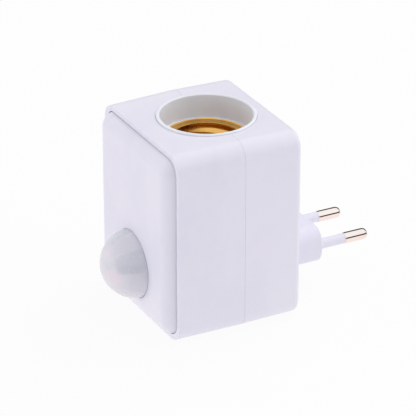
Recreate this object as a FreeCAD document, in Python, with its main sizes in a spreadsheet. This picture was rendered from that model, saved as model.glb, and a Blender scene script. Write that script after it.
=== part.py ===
"""Motion sensor lamp holder, in millimetres.

A white moulded box stands on its flat underside. A screw socket for a lamp opens in its top, a domed sensor
lens stands low on its front, and a two-pin plug on its back feeds it. Inside, one upright board carries the
motion sensor, and a sprung contact under the lamp closes the circuit.

X runs to the right as seen from the front, Y to the back and Z up. The origin is on the underside, straight
below the axis of the socket. The seam between the front and rear shells is the plane Y = 0.
"""
import FreeCAD, Part
import math
import os
import re

import Sketcher
from FreeCAD import Placement, Rotation, Vector

# Driving sizes: name, size, what it measures
SIZES = [
    ("seam_width", 56.5, "width of the body at its seam"),
    ("seam_height", 69.5, "height of the body at its seam"),
    ("draft", 0.0187, "how far each wall leans in per millimetre from the seam"),
    ("lip_setback", 25.0, "seam to the front lip of the front shell"),
    ("rear_depth", 21.9, "seam to the rear face"),
    ("wall", 1.6, "wall of both shells"),
    ("corner_radius", 5.9, "long outer corners of the body"),
    ("mouth_radius", 5.6, "inner corners of the front shell"),
    ("rear_edge_radius", 1.9, "rounding round the rear face"),
    ("seam_gap", 0.06, "open line between the shells"),
    ("tongue_length", 1.3, "tongue of the rear shell into the front shell"),
    ("tongue_wall", 0.7, "thickness of that tongue"),
    ("fit_gap", 0.12, "clearance of what slides together"),
    ("cover_stand_out", 3.75, "front lip to the front face"),
    ("cover_depth", 9.0, "front face to the rear edge of the cover"),
    ("cover_wall", 1.8, "wall of the cover"),
    ("cover_edge_radius", 5.3, "rounding round the front face"),
    ("cover_inner_chamfer", 2.4, "chamfer inside that edge"),
    ("stop_length", 8.0, "length of each cover stop"),
    ("stop_height", 1.3, "how far each cover stop stands in from the wall"),
    ("stop_depth", 1.2, "depth of each cover stop"),
    ("post_inset", 6.25, "housing screws, in from the sides at the seam"),
    ("post_low", 6.2, "lower housing screws, above the underside"),
    ("post_drop", 7.1, "upper housing screws, below the top at the seam"),
    ("post_radius", 3.0, "screw posts"),
    ("post_meet", 1.0, "where the posts of the cover end, behind the seam"),
    ("boss_radius", 4.6, "boss round each screw recess"),
    ("recess_radius", 3.4, "screw recess in the rear face"),
    ("recess_depth", 7.4, "depth of that recess"),
    ("recess_floor", 1.8, "thickness under each screw head"),
    ("screw_radius", 1.4, "core of the housing screws"),
    ("screw_head_radius", 2.8, "head of the housing screws"),
    ("screw_head_height", 2.1, "height of that head"),
    ("screw_reach", 9.5, "housing screw beyond the meeting of the posts"),
    ("well_radius", 16.05, "inside of the socket mouth"),
    ("sleeve_radius", 17.2, "outside of the socket sleeve"),
    ("rim_stand", 0.5, "rim of the socket above the top at the seam"),
    ("rim_chamfer", 0.35, "broken edges of that rim"),
    ("well_depth", 9.0, "rim to the ledge that the screw shell hangs on"),
    ("liner_radius", 14.0, "inside of the sleeve below the ledge"),
    ("sleeve_height", 40.2, "height of the socket sleeve"),
    ("floor_thickness", 2.6, "floor of the socket sleeve"),
    ("collar_radius", 18.4, "collar that holds the sleeve under the top"),
    ("collar_height", 2.0, "height of that collar"),
    ("key_width", 3.0, "keys that stop the sleeve turning"),
    ("key_height", 6.0, "height of those keys"),
    ("key_reach", 2.0, "how far those keys stand out of the sleeve"),
    ("shelf_reach", 2.6, "how far each shelf reaches under the sleeve"),
    ("shelf_width", 9.0, "width of each shelf, from the seam"),
    ("flange_radius", 15.6, "top flange of the screw shell"),
    ("shell_flare", 1.2, "slope from that flange into the screw shell"),
    ("crest_radius", 12.25, "inside of the screw shell, at the crests"),
    ("sheet", 0.4, "thickness of the screw shell"),
    ("thread_depth", 1.0, "depth of the lamp thread"),
    ("thread_pitch", 3.629, "pitch of the lamp thread, seven to the inch"),
    ("thread_turns", 4.0, "turns of the lamp thread"),
    ("thread_start", 12.3, "foot of the screw shell to the first turn"),
    ("foot_radius", 9.5, "hole in the foot of the screw shell"),
    ("rivet_place", 10.9, "rivets of the screw shell, from the axis"),
    ("rivet_radius", 0.8, "shank of those rivets"),
    ("rivet_head_radius", 1.25, "head of those rivets"),
    ("rivet_head_height", 0.6, "height of that head"),
    ("strip", 0.6, "thickness of the terminals"),
    ("strip_width", 6.4, "width of the contact terminal"),
    ("strip_end", 7.4, "axis to the bend of the contact terminal"),
    ("tail_drop", 5.0, "terminal tails below the sleeve"),
    ("tab_width", 4.0, "width of the shell terminal"),
    ("head_radius", 3.6, "head of the centre contact"),
    ("head_height", 1.8, "height of that head"),
    ("stem_radius", 1.5, "stem of the centre contact"),
    ("stem_gap", 0.05, "running clearance of the stem"),
    ("button_radius", 2.3, "button that keeps the stem in"),
    ("button_height", 0.8, "height of that button"),
    ("contact_travel", 1.8, "how far the lamp pushes the contact down"),
    ("spring_pressed", 2.6, "contact spring when the lamp is in"),
    ("spring_radius", 2.6, "middle of the contact spring's wire"),
    ("spring_wire", 0.5, "wire of the contact spring"),
    ("spring_turns", 4.0, "turns of the contact spring"),
    ("plug_width", 25.0, "width of the plug"),
    ("plug_height", 13.7, "height of the plug"),
    ("plug_corner", 5.6, "corner radius of the plug"),
    ("plug_edge_chamfer", 0.4, "broken edge round the face of the plug"),
    ("plug_stand_out", 17.5, "rear face to the face of the plug"),
    ("plug_axis", 15.0, "pins, above the underside"),
    ("plug_flange_width", 33.0, "width of the plug's inner flange"),
    ("plug_flange_height", 17.4, "height of that flange"),
    ("plug_flange", 2.0, "thickness of that flange"),
    ("plug_stake_x", 14.4, "stakes of the plug's flange, from the middle plane"),
    ("plug_stake_z", 6.2, "stakes of the plug's flange, from the pin axis"),
    ("stake_radius", 1.0, "heat stakes"),
    ("stake_head_radius", 1.7, "spread head of a heat stake"),
    ("stake_head_height", 0.7, "height of that head"),
    ("pin_spacing", 19.0, "between the two pins"),
    ("pin_radius", 2.0, "bare end of a pin"),
    ("pin_length", 9.0, "length of that bare end"),
    ("pin_tip", 1.5, "rounding of the pin's tip"),
    ("pin_core", 1.45, "pin inside its sleeve and the plug"),
    ("pin_sleeve", 10.0, "length of a pin's plastic sleeve"),
    ("pin_sleeve_radius", 1.82, "outside of that sleeve"),
    ("pin_sleeve_flare", 0.9, "flare at the foot of that sleeve"),
    ("pin_tail", 3.8, "pin inside the body, from the plug's flange"),
    ("lens_height", 19.6, "centre of the lens, above the underside"),
    ("lens_radius", 12.27, "sphere that the lens facets follow"),
    ("lens_sink", 1.4, "centre of that sphere behind the front face"),
    ("lens_wall", 0.7, "wall of the lens"),
    ("lens_collar", 0.35, "round collar of the lens outside the cover"),
    ("lens_flange_radius", 13.5, "flange of the lens behind the cover"),
    ("lens_flange", 1.0, "thickness of that flange"),
    ("facet_count", 9, "facets in each ring of the lens"),
    ("facet_low", 57, "outer rings of facets meet here, in degrees from the lens axis"),
    ("facet_mid", 35, "inner rings of facets meet here, in degrees from the lens axis"),
    ("facet_top", 14, "edge of the middle facet, in degrees from the lens axis"),
    ("retainer_bore", 12.3, "inside of the lens retainer"),
    ("retainer_radius", 14.5, "outside of the lens retainer"),
    ("retainer_depth", 1.6, "thickness of the lens retainer"),
    ("ear_place", 17.0, "ears of the retainer, from its centre"),
    ("ear_radius", 2.2, "ears of the retainer"),
    ("standoff", 7.35, "inside of the cover to the board"),
    ("standoff_radius", 2.6, "posts that carry the board"),
    ("board_margin", 9.75, "each side of the board, in from the sides of the body"),
    ("board_low", 4.6, "lower edge of the board, above the underside"),
    ("board_drop", 12.5, "upper edge of the board, below the top of the body"),
    ("board", 1.6, "thickness of the board"),
    ("board_screw_inset", 2.9, "board screws, in from the edges of the board"),
    ("board_screw_radius", 1.0, "core of the board screws"),
    ("board_screw_head", 2.0, "head radius of the board screws"),
    ("board_screw_head_height", 1.5, "height of that head"),
    ("board_screw_reach", 4.5, "board screw inside its post"),
    ("pilot_spare", 0.6, "screw holes beyond the screws' tips"),
    ("pin_wire", 0.35, "solder pins of the components"),
    ("pin_out", 0.6, "solder pins of the parts behind the board, in front of it"),
    ("spacer_height", 2.6, "spacer under the motion sensor"),
    ("spacer_radius", 4.9, "radius of that spacer"),
    ("can_base_radius", 4.6, "base of the motion sensor's can"),
    ("can_base", 0.6, "thickness of that base"),
    ("can_radius", 4.1, "can of the motion sensor"),
    ("can_height", 3.6, "height of that can"),
    ("window_width", 4.4, "window of the motion sensor, across"),
    ("window_height", 3.4, "window of the motion sensor, up"),
    ("window_depth", 0.4, "thickness of that window"),
    ("cell_radius", 2.5, "light sensor"),
    ("cell_height", 2.1, "thickness of the light sensor"),
    ("cell_x", 7.0, "light sensor right of the lens centre"),
    ("cell_drop", 6.2, "light sensor below the lens centre"),
    ("chip_length", 9.9, "controller chip, across"),
    ("chip_width", 3.9, "controller chip, up"),
    ("chip_height", 1.5, "controller chip, off the board"),
    ("chip_legs", 8, "legs on each side of the chip"),
    ("chip_leg_pitch", 1.2, "between those legs"),
    ("chip_leg_reach", 1.0, "legs beyond the chip's body"),
    ("chip_drop", 11.0, "chip and zener diode, below the upper edge of the board"),
    ("parts_drop", 17.5, "rectifier and fuse resistor, below the upper edge of the board"),
    ("bridge_length", 8.4, "rectifier, across"),
    ("bridge_width", 6.4, "rectifier, up"),
    ("bridge_height", 2.6, "rectifier, off the board"),
    ("bridge_x", 12.0, "rectifier and fuse resistor, from the middle plane"),
    ("fuse_radius", 1.5, "fuse resistor"),
    ("fuse_length", 8.0, "length of the fuse resistor"),
    ("fuse_reach", 1.8, "its wires beyond each end"),
    ("diode_radius", 1.1, "zener diode"),
    ("diode_length", 4.2, "length of the zener diode"),
    ("tall_low", 7.0, "relay and dropper capacitor, above the underside"),
    ("part_gap", 1.2, "between the relay and the dropper capacitor"),
    ("relay_width", 10.2, "relay, across"),
    ("tall_room", 4.8, "socket sleeve to the relay and the dropper capacitor"),
    ("relay_depth", 12.6, "relay, off the board"),
    ("dropper_width", 8.5, "dropper capacitor, across"),
    ("dropper_depth", 13.6, "dropper capacitor, off the board"),
    ("smoother_radius", 3.8, "smoothing capacitor"),
    ("smoother_length", 11.0, "length of the smoothing capacitor"),
    ("smoother_inset", 5.6, "smoothing capacitor, in from the edge of the board"),
    ("smoother_drop", 11.8, "smoothing capacitor, below the foot of the socket sleeve"),
    ("lead_radius", 0.85, "insulated leads"),
    ("lead_joint_z", 25.6, "live and neutral leads at the board, above the underside"),
    ("lead_inset", 1.3, "live and neutral leads, in from the edges of the board"),
    ("lead_run", 6.0, "straight run of a lead at each end"),
    ("lead_step", 5.0, "how far a lead steps aside between its ends"),
]

# Where things lie, worked out from the driving sizes
LAYOUT = [
    ("front_face", "-(lip_setback + cover_stand_out)"),
    ("post_x", "seam_width / 2 - post_inset"),
    ("post_high", "seam_height - post_drop"),
    ("rim_height", "seam_height + rim_stand"),
    ("sleeve_foot", "rim_height - sleeve_height"),
    ("lip_half", "seam_width / 2 - draft * lip_setback"),
    ("lip_top", "seam_height - draft * lip_setback"),
    ("rear_half", "seam_width / 2 - draft * rear_depth"),
    ("rear_top", "seam_height - draft * rear_depth"),
    ("rear_inside", "rear_depth - wall"),
    ("cover_half", "lip_half - wall - fit_gap"),
    ("cover_low", "wall + fit_gap"),
    ("cover_top", "lip_top - wall - fit_gap"),
    ("cover_back", "front_face + cover_depth"),
    ("cover_inside", "front_face + cover_wall"),
    ("board_front", "cover_inside + standoff"),
    ("board_back", "board_front + board"),
    ("board_width", "seam_width - 2 * board_margin"),
    ("board_top", "seam_height - board_drop"),
    ("board_screw_x", "board_width / 2 - board_screw_inset"),
    ("board_screw_low", "board_low + board_screw_inset"),
    ("board_screw_high", "board_top - board_screw_inset"),
    ("chip_z", "board_top - chip_drop"),
    ("parts_z", "board_top - parts_drop"),
    ("tall_height", "sleeve_foot - tall_low - tall_room"),
    ("smoother_x", "board_width / 2 - smoother_inset"),
    ("smoother_z", "sleeve_foot - smoother_drop"),
    ("lead_joint_x", "board_width / 2 - lead_inset"),
    ("recess_end", "rear_depth - recess_depth"),
    ("ledge_height", "rim_height - well_depth"),
    ("collar_top", "seam_height - wall - draft * collar_radius - fit_gap / 2"),
    ("floor_top", "sleeve_foot + floor_thickness"),
    ("foot_top", "floor_top + sheet"),
    ("spring_seat", "floor_top + strip"),
    ("spring_length", "spring_pressed + contact_travel"),
    ("head_seat", "spring_seat + spring_length"),
    ("stem_end", "sleeve_foot - button_height"),
    ("tail_end", "sleeve_foot - tail_drop"),
    ("plug_face", "rear_depth + plug_stand_out"),
    ("plug_inner", "rear_inside - plug_flange"),
    ("pin_x", "pin_spacing / 2"),
    ("lens_tube", "sqrt(lens_radius ^ 2 - lens_sink ^ 2)"),
    ("lens_centre", "front_face + lens_sink"),
    ("lens_back", "cover_inside + lens_flange"),
    ("retainer_back", "lens_back + retainer_depth"),
    ("can_foot", "board_front - spacer_height"),
    ("can_face", "can_foot - can_base - can_height"),
    ("relay_x", "-(part_gap + relay_width) / 2"),
    ("dropper_x", "(part_gap + dropper_width) / 2"),
]

# Where a sketch's corners start before its own rules place them
SEED_CENTRE = Vector(20, 20, 0)
SEED_REACH = Vector(9, 0, 0)

PLANES = {"xy": "XY_Plane", "xz": "XZ_Plane", "yz": "YZ_Plane"}
ALONG = {"x": Rotation(Vector(0, 1, 0), 90), "y": Rotation(Vector(1, 0, 0), -90), "z": Rotation()}

doc = FreeCAD.newDocument("MotionSensorLampHolder")
sheet = doc.addObject("Spreadsheet::Sheet", "Sizes")
layout = doc.addObject("App::VarSet", "Layout")
home = {}


def fill_sheet():
    """Writes the driving sizes as cells with aliases, and ties the layout to them."""
    for row, (name, size, meaning) in enumerate(SIZES, start=1):
        sheet.set(f"A{row}", meaning)
        sheet.set(f"B{row}", str(size))
        sheet.setAlias(f"B{row}", name)
        home[name] = f"Sizes.{name}"
    doc.recompute()
    for name, rule in LAYOUT:
        layout.addProperty("App::PropertyFloat", name, "Layout")
        layout.setExpression(name, bound(rule))
        home[name] = name
    doc.recompute()
    for name, _ in LAYOUT:
        home[name] = f"Layout.{name}"


def bound(rule):
    """Gives each size in a rule the name of the object that holds it."""
    return re.sub(r"[a-z][a-z_]+", lambda word: home.get(word.group(), word.group()), str(rule))


def at(name):
    """Returns the present value of a driving size or a place."""
    return float(getattr(sheet if home[name].startswith("Sizes.") else layout, name))


def tie(thing, **rules):
    """Binds properties to rules; a double underscore stands for a dot."""
    for name, rule in rules.items():
        thing.setExpression(name.replace("__", "."), bound(rule))
    return thing


def place(thing, x="0", y="0", z="0", turn=None):
    """Puts a piece at a place that follows the sizes."""
    thing.Placement = Placement(Vector(), turn or Rotation())
    return tie(thing, Placement__Base__x=x, Placement__Base__y=y, Placement__Base__z=z)


def box(name, x, y, z):
    """A block between the low and high rules of each axis."""
    block = doc.addObject("Part::Box", name)
    tie(block, Length=f"({x[1]}) - ({x[0]})", Width=f"({y[1]}) - ({y[0]})", Height=f"({z[1]}) - ({z[0]})")
    return place(block, x[0], y[0], z[0])


def rod(name, axis, centre, span, radius):
    """A round bar along an axis; centre holds its place on the other two axes, in order."""
    bar = doc.addObject("Part::Cylinder", name)
    tie(bar, Radius=radius, Height=f"({span[1]}) - ({span[0]})")
    spot = dict(zip([other for other in "xyz" if other != axis], centre))
    spot[axis] = span[0]
    return place(bar, spot["x"], spot["y"], spot["z"], ALONG[axis])


def fuse(name, pieces):
    """One solid of several."""
    union = doc.addObject("Part::MultiFuse", name)
    union.Shapes = pieces
    union.Refine = True
    return union


def group(name, pieces):
    """Several like solids in one node."""
    bundle = doc.addObject("Part::Compound", name)
    bundle.Links = pieces
    return bundle


def cut(name, base, tools):
    """What is left of base when the tools are taken away."""
    rest = doc.addObject("Part::Cut", name)
    rest.Base = base
    rest.Tool = tools[0] if len(tools) == 1 else fuse(f"{name}_tools", tools)
    rest.Refine = True
    return rest


def common(name, base, pieces):
    """What the pieces share with base."""
    shared = doc.addObject("Part::Common", name)
    shared.Base = base
    shared.Tool = pieces[0] if len(pieces) == 1 else fuse(f"{name}_pieces", pieces)
    return shared


def outline(body, name, plane, corners, offset="0"):
    """A closed sketch with a straight side between each two corners."""
    sketch = body.newObject("Sketcher::SketchObject", name)
    origin_plane = next(item for item in body.Origin.OriginFeatures if item.Role == PLANES[plane])
    sketch.AttachmentSupport = [(origin_plane, "")]
    sketch.MapMode = "FlatFace"
    tie(sketch, AttachmentOffset__Base__z=offset)
    count = len(corners)
    seeds = [SEED_CENTRE + Rotation(Vector(0, 0, 1), 360 * k / count).multVec(SEED_REACH)
             for k in range(count)]
    for k in range(count):
        sketch.addGeometry(Part.LineSegment(seeds[k], seeds[(k + 1) % count]), False)
    for k in range(count):
        sketch.addConstraint(Sketcher.Constraint("Coincident", k, 2, (k + 1) % count, 1))
    for k, corner in enumerate(corners):
        for kind, rule in zip(("DistanceX", "DistanceY"), corner):
            number = sketch.addConstraint(Sketcher.Constraint(kind, -1, 1, k, 1, 5.0))
            sketch.renameConstraint(number, f"{kind}_{k}")
            sketch.setExpression(f"Constraints.{kind}_{k}", bound(rule))
    return sketch


def edges_where(feature, test):
    """The feature and the names of its edges that pass a test."""
    names = [f"Edge{k}" for k, edge in enumerate(feature.Shape.Edges, start=1) if test(edge)]
    return feature, names


def runs_back(edge):
    """Whether an edge runs from front to back."""
    first, last = edge.Vertexes[0].Point, edge.Vertexes[-1].Point
    return abs(last.y - first.y) > 0.9 * edge.Length


def lies_at(axis, level):
    """A test for edges in a plane across one axis: 0 for X, 1 for Y and 2 for Z."""
    return lambda edge: all(abs(vertex.Point[axis] - level) < 1e-4 for vertex in edge.Vertexes)


def round_edges(body, name, feature, test, radius):
    """Rounds the edges of a feature that pass a test."""
    fillet = body.newObject("PartDesign::Fillet", name)
    fillet.Base = edges_where(feature, test)
    tie(fillet, Radius=radius)
    doc.recompute()
    return fillet


def break_edges(body, name, feature, test, size):
    """Gives the edges of a feature that pass a test a small chamfer."""
    chamfer = body.newObject("PartDesign::Chamfer", name)
    chamfer.Base = edges_where(feature, test)
    tie(chamfer, Size=size)
    doc.recompute()
    return chamfer


def block(name, near, far, corner, near_edge=None, far_edge=None, finish=round_edges):
    """A round-cornered block between two upright sections, each given as y, half width, low and top."""
    body = doc.addObject("PartDesign::Body", name)
    wedge = body.newObject("PartDesign::AdditiveWedge", f"{name}_wedge")
    tie(wedge, Ymin=near[0], Xmin=f"-({near[1]})", Xmax=near[1], Zmin=near[2], Zmax=near[3],
        Ymax=far[0], X2min=f"-({far[1]})", X2max=far[1], Z2min=far[2], Z2max=far[3])
    doc.recompute()
    last = round_edges(body, f"{name}_corners", wedge, runs_back, corner)
    depths = [vertex.Point.y for vertex in last.Shape.Vertexes]
    if near_edge:
        last = finish(body, f"{name}_near_edge", last, lies_at(1, min(depths)), near_edge)
    if far_edge:
        finish(body, f"{name}_far_edge", last, lies_at(1, max(depths)), far_edge)
    return body


def turned(name, corners):
    """A body turned about its own upright axis from an outline of radius and height."""
    body = doc.addObject("PartDesign::Body", name)
    profile = outline(body, f"{name}_profile", "xz", corners)
    turn = body.newObject("PartDesign::Revolution", f"{name}_turn")
    turn.Profile = profile
    turn.ReferenceAxis = (profile, ["V_Axis"])
    turn.Angle = 360
    doc.recompute()
    return body


def wind(body, name, kind, corners, pitch, height):
    """Carries an outline round the body's upright axis as a screw thread."""
    profile = outline(body, f"{name}_profile", "xz", corners)
    helix = body.newObject(f"PartDesign::{kind}Helix", name)
    helix.Profile = profile
    helix.ReferenceAxis = (profile, ["V_Axis"])
    helix.Mode = "pitch-height-angle"
    tie(helix, Pitch=pitch, Height=height)
    doc.recompute()
    return helix


def corner_places():
    """The four housing screws: a name, the side and the height."""
    return [("left_low", "-post_x", "post_low"), ("right_low", "post_x", "post_low"),
            ("left_high", "-post_x", "post_high"), ("right_high", "post_x", "post_high")]


def shell_supports(side, outer):
    """Shelves under the socket sleeve and stops beside its keys, for the shell on one side of the seam."""
    pieces = []
    sign = "-" if side == "front" else ""
    near, far = "seam_gap / 2", "shelf_width"
    key = "key_width / 2 + fit_gap"
    for hand, mirror in (("left", "-"), ("right", "")):
        reach = ("sleeve_radius - shelf_reach", outer)
        stop_reach = ("sleeve_radius + fit_gap", outer)
        x = reach if not mirror else (f"-({reach[1]})", f"-({reach[0]})")
        stop_x = stop_reach if not mirror else (f"-({stop_reach[1]})", f"-({stop_reach[0]})")
        y = (near, far) if not sign else (f"-({far})", f"-({near})")
        stop_y = (key, f"{key} + wall") if not sign else (f"-({key} + wall)", f"-({key})")
        pieces.append(box(f"{side}_shelf_{hand}", x, y, ("sleeve_foot - wall", "sleeve_foot")))
        pieces.append(box(f"{side}_key_stop_{hand}", stop_x, stop_y,
                          ("sleeve_foot - wall / 2", "sleeve_foot + key_height")))
    return pieces


def make_front_shell():
    """The open sleeve between the cover and the seam."""
    outside = block("front_shell_outside", ("-lip_setback", "lip_half", "0", "lip_top"),
                    ("-seam_gap / 2", "seam_width / 2", "0", "seam_height"), "corner_radius")
    inside = block("front_shell_inside",
                   ("-lip_setback - 1", "lip_half - wall - draft", "wall", "lip_top - wall - draft"),
                   ("1", "seam_width / 2 - wall + draft", "wall", "seam_height - wall + draft"),
                   "mouth_radius")
    stop_y = ("cover_back", "cover_back + stop_depth")
    half, reach = "stop_length / 2", "stop_height + wall / 2"
    inner = "lip_half - wall / 2"
    beside = ("(lip_top + wall) / 2 - stop_length / 2", "(lip_top + wall) / 2 + stop_length / 2")
    stops = [
        box("stop_left", (f"-({inner})", f"-({inner}) + {reach}"), stop_y, beside),
        box("stop_right", (f"{inner} - ({reach})", inner), stop_y, beside),
        box("stop_low", (f"-{half}", half), stop_y, ("wall / 2", f"wall / 2 + {reach}")),
        box("stop_top", (f"-{half}", half), stop_y,
            (f"lip_top - wall / 2 - ({reach})", "lip_top - wall / 2")),
    ]
    ribs = common("front_shell_ribs", outside, stops + shell_supports("front", "seam_width / 2 - wall / 2"))
    walls = cut("front_shell_walls", outside, [inside])
    rebate = block("front_shell_rebate",
                   ("-(tongue_length + fit_gap)", "seam_width / 2 - wall + tongue_wall + fit_gap",
                    "wall - tongue_wall - fit_gap", "seam_height - wall + tongue_wall + fit_gap"),
                   ("1", "seam_width / 2 - wall + tongue_wall + fit_gap",
                    "wall - tongue_wall - fit_gap", "seam_height - wall + tongue_wall + fit_gap"),
                   "mouth_radius")
    core = block("front_shell_core",
                 ("-(tongue_length + fit_gap) - 1", "seam_width / 2 - wall - fit_gap", "wall + fit_gap",
                  "seam_height - wall - fit_gap"),
                 ("2", "seam_width / 2 - wall - fit_gap", "wall + fit_gap", "seam_height - wall - fit_gap"),
                 "mouth_radius")
    groove = cut("front_shell_groove", rebate, [core])
    mouth = rod("front_shell_mouth", "z", ("0", "0"), ("collar_top", "seam_height + 1"),
                "sleeve_radius + fit_gap")
    return cut("front_shell", fuse("front_shell_body", [walls, ribs]), [groove, mouth])


def make_rear_shell():
    """The rear half: walls, screw bosses, the plug's opening with its stakes, and the tongue at the seam."""
    outside = block("rear_shell_outside", ("seam_gap / 2", "seam_width / 2", "0", "seam_height"),
                    ("rear_depth", "rear_half", "0", "rear_top"), "corner_radius",
                    far_edge="rear_edge_radius")
    inside = block("rear_shell_inside",
                   ("-1", "seam_width / 2 - wall + draft", "wall", "seam_height - wall + draft"),
                   ("rear_inside", "rear_half + draft * wall - wall", "wall",
                    "rear_top + draft * wall - wall"), "corner_radius - wall")
    bosses = []
    holes = []
    for name, x, z in corner_places():
        spot = (x, z)
        bosses.append(rod(f"boss_{name}", "y", spot, ("recess_end - recess_floor", "rear_depth"),
                          "boss_radius"))
        bosses.append(rod(f"rear_post_{name}", "y", spot, ("post_meet + fit_gap", "rear_inside"),
                          "post_radius"))
        holes.append(rod(f"recess_{name}", "y", spot, ("recess_end", "rear_depth + 1"), "recess_radius"))
        holes.append(rod(f"screw_way_{name}", "y", spot, ("post_meet", "rear_depth"),
                         "screw_radius + 2 * fit_gap"))
    ribs = common("rear_shell_ribs", outside, bosses + shell_supports("rear", "seam_width / 2 - wall / 2"))
    walls = cut("rear_shell_walls", outside, [inside])
    tongue_out = block("tongue_outside",
                       ("-tongue_length", "seam_width / 2 - wall + tongue_wall", "wall - tongue_wall",
                        "seam_height - wall + tongue_wall"),
                       ("seam_gap / 2 + fit_gap", "seam_width / 2 - wall + tongue_wall", "wall - tongue_wall",
                        "seam_height - wall + tongue_wall"), "mouth_radius")
    tongue_in = block("tongue_inside",
                      ("-tongue_length - 1", "seam_width / 2 - wall", "wall", "seam_height - wall"),
                      ("1", "seam_width / 2 - wall", "wall", "seam_height - wall"),
                      "mouth_radius - tongue_wall")
    tongue = cut("tongue", tongue_out, [tongue_in])
    stakes = []
    for hand, x in (("left", "-plug_stake_x"), ("right", "plug_stake_x")):
        for level, z in (("low", "plug_axis - plug_stake_z"), ("high", "plug_axis + plug_stake_z")):
            stakes.append(rod(f"plug_stake_{hand}_{level}", "y", (x, z),
                              ("plug_inner", "rear_inside + wall / 2"), "stake_radius"))
            stakes.append(rod(f"plug_stake_head_{hand}_{level}", "y", (x, z),
                              ("plug_inner - stake_head_height", "plug_inner"), "stake_head_radius"))
    round_plug = ("plug_width / 2 + fit_gap", "plug_axis - plug_height / 2 - fit_gap",
                  "plug_axis + plug_height / 2 + fit_gap")
    opening = block("plug_opening", ("rear_inside - 1", *round_plug), ("rear_depth + 1", *round_plug),
                    "plug_corner + fit_gap")
    mouth = rod("rear_shell_mouth", "z", ("0", "0"), ("collar_top", "seam_height + 1"),
                "sleeve_radius + fit_gap")
    solid = fuse("rear_shell_body", [walls, ribs, tongue] + stakes)
    return cut("rear_shell", solid, holes + [opening, mouth])


def make_front_cover():
    """The rounded cap with the lens hole, the screw posts and the posts that carry the board."""
    outside = block("cover_outside", ("front_face", "cover_half", "cover_low", "cover_top"),
                    ("cover_back", "cover_half", "cover_low", "cover_top"), "mouth_radius - fit_gap",
                    near_edge="cover_edge_radius")
    hollow = ("cover_half - cover_wall", "cover_low + cover_wall", "cover_top - cover_wall")
    inside = block("cover_inside_space", ("cover_inside", *hollow), ("cover_back + 1", *hollow),
                   "mouth_radius - fit_gap - cover_wall", near_edge="cover_inner_chamfer",
                   finish=break_edges)
    walls = cut("cover_walls", outside, [inside])
    posts, outer_posts, pilots = [], [], []
    for name, x, z in corner_places():
        posts.append(rod(f"cover_post_{name}", "y", (x, z), ("front_face", "cover_back"), "post_radius"))
        outer_posts.append(rod(f"long_post_{name}", "y", (x, z), ("cover_back", "post_meet"), "post_radius"))
        pilots.append(rod(f"pilot_{name}", "y", (x, z),
                          ("post_meet - screw_reach - pilot_spare", "post_meet + 1"),
                          "screw_radius + stem_gap"))
    for name, x, z in board_places():
        outer_posts.append(rod(f"standoff_{name}", "y", (x, z),
                               ("cover_inside - cover_wall / 2", "board_front"), "standoff_radius"))
        pilots.append(rod(f"board_pilot_{name}", "y", (x, z),
                          ("board_front - board_screw_reach - pilot_spare", "board_front"),
                          "board_screw_radius + stem_gap"))
    for name, x, z in ear_places():
        outer_posts.append(rod(f"lens_stake_{name}", "y", (x, z),
                               ("cover_inside - cover_wall / 2", "retainer_back"), "stake_radius"))
        outer_posts.append(rod(f"lens_stake_head_{name}", "y", (x, z),
                               ("retainer_back", "retainer_back + stake_head_height"), "stake_head_radius"))
    ribs = common("cover_ribs", outside, posts)
    hole = rod("lens_hole", "y", ("0", "lens_height"), ("front_face - 1", "cover_inside + 1"),
               "lens_tube + fit_gap")
    return cut("front_cover", fuse("cover_body", [walls, ribs] + outer_posts), pilots + [hole])


def board_places():
    """The four board screws: a name, the side and the height."""
    return [("left_low", "-board_screw_x", "board_screw_low"),
            ("right_low", "board_screw_x", "board_screw_low"),
            ("left_high", "-board_screw_x", "board_screw_high"),
            ("right_high", "board_screw_x", "board_screw_high")]


def ear_places():
    """The three ears of the lens retainer: a name, the side and the height."""
    return [("left", "-ear_place", "lens_height"), ("right", "ear_place", "lens_height"),
            ("top", "0", "lens_height + ear_place")]


def screws(label, places, seat, tip, radius, head_radius, head_height, way):
    """Like screws, one per place, with their heads on the seat and their tips ahead of it."""
    each = []
    for name, x, z in places:
        shank = rod(f"{label}_shank_{name}", "y", (x, z), (tip, seat), radius)
        head = rod(f"{label}_head_{name}", "y", (x, z), (seat, f"{seat} + {head_height}"), head_radius)
        slot = box(f"{label}_slot_{name}", (f"{x} - {head_radius} * 0.8", f"{x} + {head_radius} * 0.8"),
                   (f"{seat} + {head_height} * 0.55", f"{seat} + {head_height} + 1"),
                   (f"{z} - {head_radius} * {way}", f"{z} + {head_radius} * {way}"))
        each.append(cut(f"{label}_{name}", fuse(f"{label}_body_{name}", [shank, head]), [slot]))
    return group(label, each)


def make_screws():
    """The housing screws in the rear recesses, and the screws of the board."""
    return [screws("housing_screws", corner_places(), "recess_end", "post_meet - screw_reach",
                   "screw_radius", "screw_head_radius", "screw_head_height", "0.13"),
            screws("board_screws", board_places(), "board_back", "board_front - board_screw_reach",
                   "board_screw_radius", "board_screw_head", "board_screw_head_height", "0.15")]


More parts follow.
